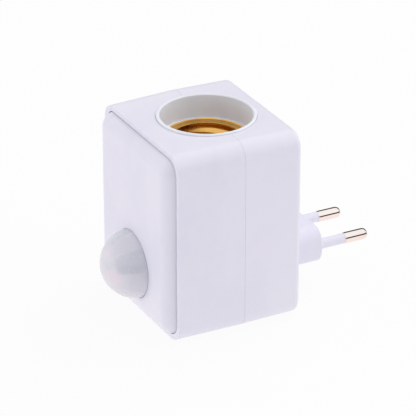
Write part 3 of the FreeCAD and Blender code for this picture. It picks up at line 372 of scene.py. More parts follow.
@dataclass(frozen=True)
class WorkedMetal(Finish):
    """Bare or plated metal with the marks of its making drawn out one way, and a little tarnish."""

    name: str
    color: Color
    tarnish: Color
    roughness: float
    marks: Triple
    mark_depth: float = 0.002 * MM
    mark_strength: float = 0.5
    mark_gloss: float = 0.12
    patches: float = 160.0
    patch_edges: Span = (0.42, 0.75)
    tarnished: float = 0.35
    tarnish_gloss: float = 0.25

    def sockets(self, graph: Graph) -> dict[str, Any]:
        """Stretched noise gives the marks; a wide noise with a soft threshold gives the tarnish.

        Args:
            graph: The material's nodes.

        Returns:
            Its socket values and links.
        """
        marks = graph.noise(self.marks, detail=2.0)
        patch = graph.noise((self.patches,) * 3, detail=4.0)
        dull = patch.ramp(*self.patch_edges) * self.tarnished
        uneven = dull * self.tarnish_gloss
        return {
            "Base Color": graph.blend(dull, self.color, self.tarnish),
            "Metallic": 1.0,
            "Roughness": self.roughness + uneven + (marks - NOISE_MIDDLE) * self.mark_gloss,
            "Normal": graph.bump(marks, self.mark_depth, self.mark_strength),
        }


@dataclass(frozen=True)
class BoardLaminate(Finish):
    """Glass-cloth laminate under solder mask: a weave of two crossed waves shows faintly."""

    name: str
    color: Color
    thread: Color
    thread_pitch: float = 0.5 * MM
    thread_tone: float = 0.35
    thread_depth: float = 0.01 * MM
    thread_strength: float = 0.4
    roughness: float = 0.3
    thread_gloss: float = 0.1

    def sockets(self, graph: Graph) -> dict[str, Any]:
        """Two sine waves, along X and along Z, multiply into the cloth's squares, from 0 to 1.

        Args:
            graph: The material's nodes.

        Returns:
            Its socket values and links.
        """
        pace = FULL_TURN / self.thread_pitch
        across = graph.number("ShaderNodeMath", {"operation": "SINE"}, {0: graph.part("X") * pace})
        up = graph.number("ShaderNodeMath", {"operation": "SINE"}, {0: graph.part("Z") * pace})
        cloth = across * up * 0.5 + 0.5
        return {
            "Base Color": graph.blend(cloth * self.thread_tone, self.color, self.thread),
            "Roughness": self.roughness + cloth * self.thread_gloss,
            "Normal": graph.bump(cloth, self.thread_depth, self.thread_strength),
        }


@dataclass(frozen=True)
class CoatedPart(Finish):
    """A small component's dipped or moulded coat, slightly uneven."""

    name: str
    color: Color
    shade: Color
    roughness: float = 0.4
    mottle: float = 700.0
    mottle_edges: Span = (0.3, 0.8)
    mottle_gloss: float = 0.2
    peel: float = 2200.0
    peel_depth: float = 0.01 * MM
    peel_strength: float = 0.5

    def sockets(self, graph: Graph) -> dict[str, Any]:
        """Mottled tone and an orange-peel surface.

        Args:
            graph: The material's nodes.

        Returns:
            Its socket values and links.
        """
        mottle = graph.noise((self.mottle,) * 3, detail=3.0)
        peel = graph.noise((self.peel,) * 3, detail=1.0)
        return {
            "Base Color": graph.blend(mottle.ramp(*self.mottle_edges), self.color, self.shade),
            "Roughness": self.roughness + (mottle - NOISE_MIDDLE) * self.mottle_gloss,
            "Normal": graph.bump(peel, self.peel_depth, self.peel_strength),
        }


HOUSING_WHITE = MouldedPlastic("housing_white", linear(231, 229, 241), linear(227, 225, 239))
PLUG_WHITE = MouldedPlastic("plug_white", linear(229, 227, 240), linear(225, 223, 238), roughness=0.46)
# Lighter and bluer than the housing white: painted light that lifts the dim, brass-warmed inside of the
# well.
PAINTED_LIGHT_SOCKET_WHITE = MouldedPlastic("socket_white_painted_light", linear(239, 242, 249), linear(235, 238, 246), roughness=0.34,
                              grain=3200.0, grain_depth=0.006 * MM)
INNER_WHITE = MouldedPlastic("inner_white", linear(222, 221, 226), linear(214, 213, 219), roughness=0.5)
# The lens: its own pale colour, a deep one for painted shade and a warm one for painted warm light.
LENS_MILK = MilkyLens("lens_milk", linear(220, 218, 228), linear(209, 210, 221), linear(234, 221, 232),
                      "facet_painted_light")
ROLLED_BRASS = WorkedMetal("rolled_brass", linear(230, 180, 98), linear(162, 106, 44), 0.2,
                           (90.0, 90.0, 5200.0))
TERMINAL_BRASS = WorkedMetal("terminal_brass", linear(226, 184, 112), linear(164, 116, 60), 0.26,
                             (200.0, 3600.0, 200.0))
PIN_NICKEL = WorkedMetal("pin_nickel", linear(250, 240, 236), linear(222, 210, 204), 0.07,
                         (180.0, 5200.0, 180.0), mark_depth=0.0002 * MM, tarnished=0.15)
CAN_STEEL = WorkedMetal("can_steel", linear(206, 206, 210), linear(160, 160, 166), 0.28, (900.0,) * 3)
SCREW_ZINC = WorkedMetal("screw_zinc", linear(196, 197, 202), linear(142, 144, 152), 0.3, (1400.0,) * 3)
SPRING_WIRE = WorkedMetal("spring_wire", linear(190, 190, 194), linear(140, 140, 146), 0.24,
                          (800.0, 800.0, 2400.0))
BOARD_GREEN = BoardLaminate("board_green", linear(46, 106, 68), linear(74, 138, 92))
RELAY_BLACK = CoatedPart("relay_black", linear(40, 42, 46), linear(52, 54, 58), 0.36)
FILM_YELLOW = CoatedPart("film_yellow", linear(214, 170, 62), linear(198, 152, 48), 0.3)
SLEEVE_BLACK = CoatedPart("sleeve_black", linear(30, 31, 34), linear(42, 44, 50), 0.28)
MOULD_BLACK = CoatedPart("mould_black", linear(34, 34, 35), linear(46, 46, 48), 0.55)
RESISTOR_COAT = CoatedPart("resistor_coat", linear(120, 138, 128), linear(102, 122, 112), 0.5)
DIODE_GLASS = CoatedPart("diode_glass", linear(168, 84, 44), linear(134, 62, 32), 0.12)
WINDOW_DARK = CoatedPart("window_dark", linear(46, 38, 48), linear(34, 28, 38), 0.14)
CELL_COAT = CoatedPart("cell_coat", linear(196, 130, 84), linear(172, 104, 64), 0.18)
LEAD_BLUE = CoatedPart("lead_blue", linear(52, 92, 176), linear(42, 78, 156), 0.42)
LEAD_BROWN = CoatedPart("lead_brown", linear(112, 68, 42), linear(92, 54, 34), 0.42)
LEAD_BLACK = CoatedPart("lead_black", linear(38, 38, 40), linear(52, 52, 54), 0.42)


def put_finish(piece: bpy.types.Object, finish: Finish) -> None:
    """Gives every material slot of a piece one finish.

    Args:
        piece: The piece, with or without slots.
        finish: What it wears.
    """
    material = finish.wear()
    if not piece.material_slots:
        piece.data.materials.append(material)
    for holder in piece.material_slots:
        holder.material = material


class Wrap(Enum):
    """How the rows of a grid join up."""

    OPEN = "open"
    CLOSED = "closed"


def grid_piece(name: str, points: np.ndarray, wrap: Wrap, finish: Finish) -> bpy.types.Object:
    """Makes a mesh from a grid of points whose columns go all the way round.

    Each cell is one quad between a row, the next row and two neighbouring columns. The first and last rows
    of an open grid are closed by merging where they meet in a pole.

    Args:
        name: The piece's name.
        points: Rows by columns by three coordinates.
        wrap: Whether the last row joins the first.
        finish: What the piece wears.

    Returns:
        The new object, smooth, with its faces outwards.
    """
    rows, columns = points.shape[:2]
    index = np.arange(rows * columns).reshape(rows, columns)
    upper = index if wrap is Wrap.CLOSED else index[:-1]
    lower = np.roll(index, -1, axis=0) if wrap is Wrap.CLOSED else index[1:]
    quads = np.stack([upper, lower, np.roll(lower, -1, axis=1), np.roll(upper, -1, axis=1)], axis=-1)
    mesh = bpy.data.meshes.new(name)
    mesh.from_pydata(points.reshape(-1, 3).tolist(), [], quads.reshape(-1, 4).tolist())
    mesh.validate()
    piece = bpy.data.objects.new(name, mesh)
    bpy.context.scene.collection.objects.link(piece)
    close_and_face_out(mesh)
    put_finish(piece, finish)
    return piece


def close_and_face_out(mesh: bpy.types.Mesh) -> None:
    """Merges points that meet in a pole or seam and turns all faces outwards.

    Args:
        mesh: The mesh, which is changed.
    """
    work = bmesh.new()
    work.from_mesh(mesh)
    bmesh.ops.remove_doubles(work, verts=work.verts, dist=MERGE_WITHIN)
    bmesh.ops.recalc_face_normals(work, faces=work.faces)
    work.to_mesh(mesh)
    work.free()
    mesh.shade_smooth()
    mesh.set_sharp_from_angle(angle=SHARP_FROM)


def turned(profile: np.ndarray, centre: Vector, columns: int) -> np.ndarray:
    """Turns a profile about an axis along Y: centre plus radius round the axis plus reach along it.

    Args:
        profile: Rows of radius and reach.
        centre: The point on the axis where the reach is 0.
        columns: Points in each turn.

    Returns:
        A grid of rows by columns by three coordinates.
    """
    angle = np.linspace(0.0, FULL_TURN, columns, endpoint=False)
    across = np.outer(profile[:, 0], np.cos(angle))
    up = np.outer(profile[:, 0], np.sin(angle))
    reach = np.repeat(profile[:, 1:2], columns, axis=1)
    return np.stack([across, reach, up], axis=-1) + np.array(centre)


def rounded(corners: list[Triple], steps: int) -> np.ndarray:
    """Rounds an outline: a corner becomes a quadratic curve between points its radius away on both sides.

    Where a side is short, the curve starts at its middle.

    Args:
        corners: Radius, place along the axis and rounding of each corner, in metres.
        steps: Points in each rounding.

    Returns:
        Rows of radius and place along the axis.
    """
    spots = np.array([corner[:2] for corner in corners])
    rows = [spots[:1]]
    for k in range(1, len(corners) - 1):
        before, here, after = spots[k - 1], spots[k], spots[k + 1]
        reach = corners[k][2]
        start = here + (before - here) * min(0.5, reach / max(np.linalg.norm(before - here), TINY))
        end = here + (after - here) * min(0.5, reach / max(np.linalg.norm(after - here), TINY))
        t = np.linspace(0.0, 1.0, steps)[:, None]
        rows.append((1 - t) ** 2 * start + 2 * t * (1 - t) * here + t**2 * end)
    rows.append(spots[-1:])
    return np.concatenate(rows)


@dataclass(frozen=True)
class PaintedLightPatch:
    """A soft round patch of painted light on the lens, for painted shade and for painted warm tints.

    Attributes:
        turn: Where its middle lies round the lens axis, in degrees from the right.
        polar: How far its middle lies from the lens axis, in degrees.
        width: How far it reaches from its middle, in degrees.
        share: How strong it is in the middle.
        core: The share of its width over which it keeps that strength.
    """

    turn: float
    polar: float
    width: float
    share: float = 1.0
    core: float = 0.35

    def over(self, facing: np.ndarray) -> np.ndarray:
        """How strong the patch is at each direction: its share in the core, and 0 a width away.

        Args:
            facing: Unit directions, one row each.

        Returns:
            One strength for each row.
        """
        turn, polar = math.radians(self.turn), math.radians(self.polar)
        out = math.sin(polar)
        way = np.array([out * math.cos(turn), -math.cos(polar), out * math.sin(turn)])
        apart = np.degrees(np.arccos(np.clip(facing @ way, -1.0, 1.0)))
        return self.share * (1.0 - ease(apart, self.width * self.core, self.width))


@dataclass
class SensorLens:
    """The milky dome over the motion sensor, with its collar and the flange behind the cover.

    Attributes:
        centre: Middle of the dome's sphere.
        radius: The sphere's radius.
        wall: Thickness of the dome.
        foot: Y where the dome ends and the collar starts.
        tube: Outer radius of the collar.
        flange: Outer radius of the flange.
        bore: Inner radius of collar and flange.
        cover_inside: Y of the cover's inner face.
        back: Y of the flange's back face.
        ring_edges: Where the rings of facets meet, in degrees from the axis.
        sectors: Facets in each ring.
        flatness: How far the dome goes from the sphere to flat facets.
        round_from: Where it starts to go back to the sphere, in degrees from the axis.
        facet_share: How far the painted shade at a point is that of its facet's middle.
        facet_seed: Start of the random draws.
        facet_spread: Range of the painted shade that a facet has of its own.
        deep: Patches of painted shade.
        warm: Patches of painted warm light.
        columns: Points in each turn.
        dome_rows: Rows of points from its middle to its foot.
        inside_rows: The same on its inside.
        collar_rounding: Rounding of the collar's and the flange's edges.
        collar_steps: Points in each rounding.
    """

    centre: Vector = field(default_factory=lambda: Vector((0.0, -27.7 * MM, 19.6 * MM)))
    radius: float = 12.27 * MM
    wall: float = 0.7 * MM
    foot: float = -29.1 * MM
    tube: float = 12.19 * MM
    flange: float = 13.5 * MM
    bore: float = 10.87 * MM
    cover_inside: float = -26.95 * MM
    back: float = -25.95 * MM
    ring_edges: tuple[float, ...] = (14.0, 35.0, 57.0, 81.8)
    sectors: int = 9
    flatness: float = 0.22
    round_from: float = 70.0
    facet_share: float = 0.72
    facet_seed: int = 11
    facet_spread: Span = (-0.16, 0.2)
    # Patches of painted shade, then patches of painted warm light.
    deep: tuple[PaintedLightPatch, ...] = (PaintedLightPatch(20.0, 72.0, 38.0), PaintedLightPatch(22.0, 47.0, 24.0, 0.55),
                                   PaintedLightPatch(116.0, 66.0, 42.0, 0.9))
    warm: tuple[PaintedLightPatch, ...] = (PaintedLightPatch(350.0, 27.0, 24.0, 0.65), PaintedLightPatch(93.0, 33.0, 16.0, 0.5))
    columns: int = 216
    dome_rows: int = 70
    inside_rows: int = 24
    collar_rounding: float = 0.15 * MM
    collar_steps: int = 4

    def facets(self) -> tuple[np.ndarray, np.ndarray]:
        """The plane of each facet, as a normal and a distance from the centre.

        The corners of a facet lie on the sphere at two polar angles and at both edges of its sector. At the
        middle of the sector the plane passes the two chord middles, sine times the cosine of half a sector
        across and cosine along, and its normal is square to the line between them.

        Returns:
            Normals, one row each, and distances.
        """
        half = np.pi / self.sectors
        edges = np.radians(self.ring_edges)
        across, along = np.sin(edges) * np.cos(half), np.cos(edges)
        run, fall = np.diff(across), -np.diff(along)
        size = np.hypot(run, fall)
        lean_out, lean_up = fall / size, run / size
        middle = np.radians(90.0) + half + 2.0 * half * np.arange(self.sectors)
        out = np.repeat(lean_out, self.sectors)
        turn = np.tile(middle, len(lean_out))
        forward = -np.repeat(lean_up, self.sectors)
        normals = np.stack([out * np.cos(turn), forward, out * np.sin(turn)], axis=-1)
        reach = np.repeat(lean_out * across[:-1] + lean_up * along[:-1], self.sectors) * self.radius
        top = np.array([[0.0, -1.0, 0.0]])
        return np.concatenate([top, normals]), np.concatenate([[self.radius * along[0]], reach])

    def dome(self, polar: np.ndarray) -> np.ndarray:
        """The faceted dome.

        Along each direction the nearest facet plane is where distance over the cosine to its normal is
        least. The dome lies between that and the sphere, and nears the sphere at its foot.

        Args:
            polar: Angles from the lens axis, one per row.

        Returns:
            The grid of points.
        """
        angle = np.linspace(0.0, FULL_TURN, self.columns, endpoint=False)
        out, along = np.sin(polar)[:, None], np.cos(polar)[:, None] * np.ones((1, self.columns))
        way = np.stack([out * np.cos(angle), -along, out * np.sin(angle)], axis=-1)
        normals, reach = self.facets()
        hits = (reach / np.maximum(way @ normals.T, LEAST_COSINE)).min(axis=-1)
        round_from, round_to = math.radians(self.round_from), math.radians(self.ring_edges[-1])
        share = self.flatness * (1.0 - ease(polar, round_from, round_to))[:, None]
        length = self.radius * (1.0 - share) + hits * share
        return way * length[..., None] + np.array(self.centre)

    def build(self) -> bpy.types.Object:
        """Makes the lens: dome, collar, flange and the inside, and writes its painted shade and painted
        warmth.

        Returns:
            The piece.
        """
        last = math.acos((self.centre.y - self.foot) / self.radius)
        outer = self.dome(np.linspace(0.0, last, self.dome_rows))
        bend = self.collar_rounding
        collar = rounded([(self.tube, self.foot, 0.0), (self.tube, self.cover_inside, bend),
                          (self.flange, self.cover_inside, bend), (self.flange, self.back, bend),
                          (self.bore, self.back, bend), (self.bore, self.foot, 0.0)], self.collar_steps)
        axis = Vector((self.centre.x, 0.0, self.centre.z))
        around = turned(collar, axis, self.columns)
        reach = self.radius - self.wall
        polar = np.linspace(math.asin(self.bore / reach), 0.0, self.inside_rows)
        inner = np.stack([reach * np.sin(polar), self.centre.y - reach * np.cos(polar)], axis=-1)
        inside = turned(inner, axis, self.columns)
        grid = np.concatenate([outer, around, inside])
        piece = grid_piece("sensor_lens_dome", grid, Wrap.OPEN, LENS_MILK)
        self.write_painted_light(piece)
        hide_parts("sensor_lens")
        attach(piece, "holder")
        return piece

    def write_painted_light(self, piece: bpy.types.Object) -> None:
        """Writes the painted shade and the painted warm light of each point.

        Its painted shade is the sum of the deep patches, read part of the way from its own direction to the
        one its facet faces, plus the facet's own random amount. Its painted warm light is the sum of the
        warm patches.

        Args:
            piece: The lens.
        """
        count = len(piece.data.vertices)
        spots = np.empty(count * 3)
        piece.data.vertices.foreach_get("co", spots)
        way = spots.reshape(-1, 3) - np.array(self.centre)
        way /= np.maximum(np.linalg.norm(way, axis=1, keepdims=True), TINY)
        normals, reach = self.facets()
        nearest = (reach / np.maximum(way @ normals.T, LEAST_COSINE)).argmin(axis=-1)
        own = np.random.default_rng(self.facet_seed).uniform(*self.facet_spread, len(normals))[nearest]
        softened = way * (1.0 - self.facet_share) + normals[nearest] * self.facet_share
        softened /= np.linalg.norm(softened, axis=1, keepdims=True)
        # Painted shade, then painted warm light.
        deep = sum(patch.over(softened) for patch in self.deep) + own
        warm = sum(patch.over(way) for patch in self.warm)
        for name, values in ((LENS_MILK.tone, np.clip(deep, 0.0, 1.0)), (f"{LENS_MILK.tone}_warm", warm)):
            attribute = piece.data.attributes.new(name, "FLOAT", "POINT")
            attribute.data.foreach_set("value", values.astype(np.float32))


@dataclass
class LampSocket:
    """The screw shell with its rolled lamp thread.

    Attributes:
        foot: Height of the underside.
        ledge: Height of the ledge under the flange.
        sheet: Thickness of the brass.
        crest: Inner radius between the turns of the thread.
        foot_hole: Radius of the hole in the floor.
        flange: Outer radius of the flange.
        lip: Width of the flange's turned-up edge.
        lip_height: How far that edge rises.
        slope: How far the flange falls towards the mouth.
        depth: How far the thread stands out.
        pitch: Height of one turn of the thread.
        first: Height of the thread's start.
        turns: Turns of the thread.
        crest_power: Exponent of the thread's wave.
        fade_outside: Turns beyond each end over which the thread fades.
        fade_inside: Turns within each end over which it fades.
        foot_bend: Rounding between floor and wall.
        mouth_bend: Rounding between wall and flange.
        lip_bend: Rounding where the edge turns up.
        bend_steps: Points in each rounding.
        wall_rows: Rows of points up the wall.
        columns: Points in each turn.
        wall_band: How many sheets off the wall's radius a point still carries the thread.
    """

    foot: float = 32.4 * MM
    ledge: float = 61.0 * MM
    sheet: float = 0.4 * MM
    crest: float = 12.25 * MM
    foot_hole: float = 9.5 * MM
    flange: float = 14.6 * MM
    lip: float = 0.35 * MM
    lip_height: float = 0.24 * MM
    slope: float = 0.4 * MM
    depth: float = 1.1 * MM
    pitch: float = 3.629 * MM
    first: float = 42.8 * MM
    turns: float = 4.5
    crest_power: float = 0.85
    fade_outside: float = 0.1
    fade_inside: float = 0.12
    foot_bend: float = 0.7 * MM
    mouth_bend: float = 0.12 * MM
    lip_bend: float = 0.1 * MM
    bend_steps: int = 9
    wall_rows: int = 118
    columns: int = 144
    wall_band: float = 1.5

    def ridge(self, height: np.ndarray, angle: np.ndarray) -> np.ndarray:
        """How far the thread stands out: a raised cosine across each turn, fading in and out at its ends.

        Args:
            height: Heights, rows by columns.
            angle: Angles round the axis, rows by columns.

        Returns:
            The outward shift at each point.
        """
        turn = (height - self.first) / self.pitch - angle / FULL_TURN
        nearest = np.round(turn)
        wave = (0.5 + 0.5 * np.cos(FULL_TURN * (turn - nearest))) ** self.crest_power
        way = nearest + angle / FULL_TURN
        start = ease(way, -self.fade_outside, self.fade_inside)
        end = ease(way, self.turns - self.fade_inside, self.turns + self.fade_outside)
        return self.depth * wave * (start * (1.0 - end))

    def build(self) -> bpy.types.Object:
        """Makes the shell: an inner skin from the foot to the flange, and the same skin one sheet out.

        Returns:
            The piece.
        """
        wall_low, wall_high = self.foot + self.sheet, self.ledge + self.sheet - self.slope
        top = self.ledge + self.sheet
        path = rounded([(self.foot_hole, wall_low, 0.0), (self.crest, wall_low, self.foot_bend),
                        (self.crest, wall_high, self.mouth_bend),
                        (self.flange - self.lip, top, self.lip_bend),
                        (self.flange, top + self.lip_height, 0.0)], self.bend_steps)
        wall = np.linspace(wall_low + self.foot_bend, wall_high - self.mouth_bend, self.wall_rows)[1:-1]
        middle = 1 + self.bend_steps
        path = np.concatenate([path[:middle], np.stack([np.full_like(wall, self.crest), wall], axis=-1),
                               path[middle:]])
        step = np.gradient(path, axis=0)
        step /= np.linalg.norm(step, axis=1, keepdims=True)
        away = np.stack([step[:, 1], -step[:, 0]], axis=-1)
        skins = np.concatenate([path, (path + away * self.sheet)[::-1]])
        angle = np.linspace(0.0, FULL_TURN, self.columns, endpoint=False)
        height = np.repeat(skins[:, 1:2], self.columns, axis=1)
        on_wall = (np.abs(skins[:, 0] - self.crest) < self.wall_band * self.sheet)[:, None]
        radius = skins[:, :1] + self.ridge(height, angle[None, :] * np.ones_like(height)) * on_wall
        grid = np.stack([radius * np.cos(angle), radius * np.sin(angle), height], axis=-1)
        piece = grid_piece("screw_shell_rolled", grid, Wrap.CLOSED, ROLLED_BRASS)
        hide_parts("screw_shell")
        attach(piece, "holder")
        return piece


@dataclass
class ContactSpring:
    """The spring under the centre contact.

    It stands on the seat. Its length is that of the gap under the contact's head at rest, and the travel,
    which is not used, is how far the head goes down. The radius reaches to the middle of the wire, and wire
    is the wire's own radius. The end turns lie nearly flat.
    """

    seat: float = 33.0 * MM
    length: float = 4.4 * MM
    travel: float = 1.8 * MM
    clearance: float = 0.05 * MM
    radius: float = 2.6 * MM
    wire: float = 0.25 * MM
    turns: float = 4.0
    end_turns: float = 0.7
    end_pitch: float = 0.55 * MM
    steps: int = 145
    sides: int = 14

    def build(self) -> bpy.types.Object:
        """Winds the wire, with an end turn that nearly lies flat below and above and an open run between.

        At each step along the wire its round section stands in the plane of the radius and the axis, so a
        point is the wire's middle plus the wire's radius times cosine outwards and sine upwards.

        Returns:
            The piece.
        """
        rise = self.length - 2.0 * (self.clearance + self.wire)
        turn = np.concatenate([[0.0], np.linspace(0.0, self.turns, self.steps), [self.turns]])
        end_rise = self.end_turns * self.end_pitch
        middle = self.seat + self.clearance + self.wire + np.interp(
            turn, [0.0, self.end_turns, self.turns - self.end_turns, self.turns],
            [0.0, end_rise, rise - end_rise, rise])
        thick = np.full_like(turn, self.wire)
        thick[[0, -1]] = 0.0
        section = np.linspace(0.0, FULL_TURN, self.sides, endpoint=False)
        out = self.radius + np.outer(thick, np.cos(section))
        height = middle[:, None] + np.outer(thick, np.sin(section))
        angle = FULL_TURN * turn[:, None]
        grid = np.stack([out * np.cos(angle), out * np.sin(angle), height], axis=-1)
        piece = grid_piece("contact_spring_wound", grid, Wrap.OPEN, SPRING_WIRE)
        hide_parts("contact_spring")
        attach(piece, "holder")
        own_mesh(piece)
        return piece


@dataclass
class MainsPlug:
    """The two plated pins at the back.

    Along Y each pin runs from its tail, inside the plug, past the shoulder, where the bare end starts, to
    its tip. The core is its radius inside the sleeve, and the radius is that of the bare end.
    """

    side: float = 9.5 * MM
    height: float = 15.0 * MM
    tail: float = 14.5 * MM
    shoulder: float = 49.4 * MM
    tip: float = 58.4 * MM
    core: float = 1.45 * MM
    radius: float = 2.0 * MM
    root_bend: float = 0.2 * MM
    inner_bend: float = 0.05 * MM
    outer_bend: float = 0.15 * MM
    tip_bend: float = 1.75 * MM
    bend_steps: int = 12
    columns: int = 72

    def build(self) -> list[bpy.types.Object]:
        """Turns both pins: a thin root, a small shoulder and a bare end with a rounded tip.

        Returns:
            The left and the right pin.
        """
        profile = rounded([(0.0, self.tail, 0.0), (self.core, self.tail, self.root_bend),
                           (self.core, self.shoulder, self.inner_bend),
                           (self.radius, self.shoulder, self.outer_bend),
                           (self.radius, self.tip, self.tip_bend), (0.0, self.tip, 0.0)], self.bend_steps)
        made = []
        for node, side in (("pin_left", -self.side), ("pin_right", self.side)):
            grid = turned(profile, Vector((side, 0.0, self.height)), self.columns)
            piece = grid_piece(f"{node}_turned", grid, Wrap.OPEN, PIN_NICKEL)
            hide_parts(node)
            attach(piece, "holder")
            made.append(piece)
        return made


@dataclass
class FrameDress:
    """The finishes of the CAD nodes, five of which finer pieces then replace."""

    wear: tuple[tuple[Finish, tuple[str, ...]], ...] = (
        (HOUSING_WHITE, ("front_shell", "rear_shell", "front_cover")),
        (PLUG_WHITE, ("plug_insert", "pin_sleeve_left", "pin_sleeve_right")),
        # The socket sleeve wears the lifted white, painted light for the well.
        (PAINTED_LIGHT_SOCKET_WHITE, ("socket_sleeve",)),
        (INNER_WHITE, ("lens_retainer", "sensor_spacer", "sensor_lens")),
        (ROLLED_BRASS, ("screw_shell",)),
        (TERMINAL_BRASS, ("socket_rivets", "contact_terminal", "shell_terminal", "centre_contact")),
        (SPRING_WIRE, ("contact_spring",)),
        (PIN_NICKEL, ("pin_left", "pin_right")),
        (SCREW_ZINC, ("housing_screws", "board_screws")),
        (CAN_STEEL, ("pir_sensor",)),
        (WINDOW_DARK, ("pir_window",)),
        (CELL_COAT, ("light_sensor",)),
        (BOARD_GREEN, ("control_board",)),
        (RELAY_BLACK, ("relay",)),
        (FILM_YELLOW, ("dropper_capacitor",)),
        (SLEEVE_BLACK, ("smoothing_capacitor",)),
        (MOULD_BLACK, ("rectifier", "controller_chip")),
        (RESISTOR_COAT, ("fuse_resistor",)),
        (DIODE_GLASS, ("zener_diode",)),
        (LEAD_BLUE, ("neutral_lead", "shell_lead")),
        (LEAD_BROWN, ("live_lead",)),
        (LEAD_BLACK, ("switched_lead",)),
    )

    def dress(self, nodes: dict[str, bpy.types.Object]) -> None:
        """Gives each CAD node its finish.

        Args:
            nodes: The frame's nodes by name.
        """
        for finish, names in self.wear:
            for name in names:
                put_finish(nodes[name], finish)
                LOG.info("%s wears %s", name, finish.name)


@dataclass(frozen=True)
class Softbox:
    """One soft square lamp: where it hangs, the length of its side and its power in watts."""

    name: str
    place: Triple
    side: float
    power: float


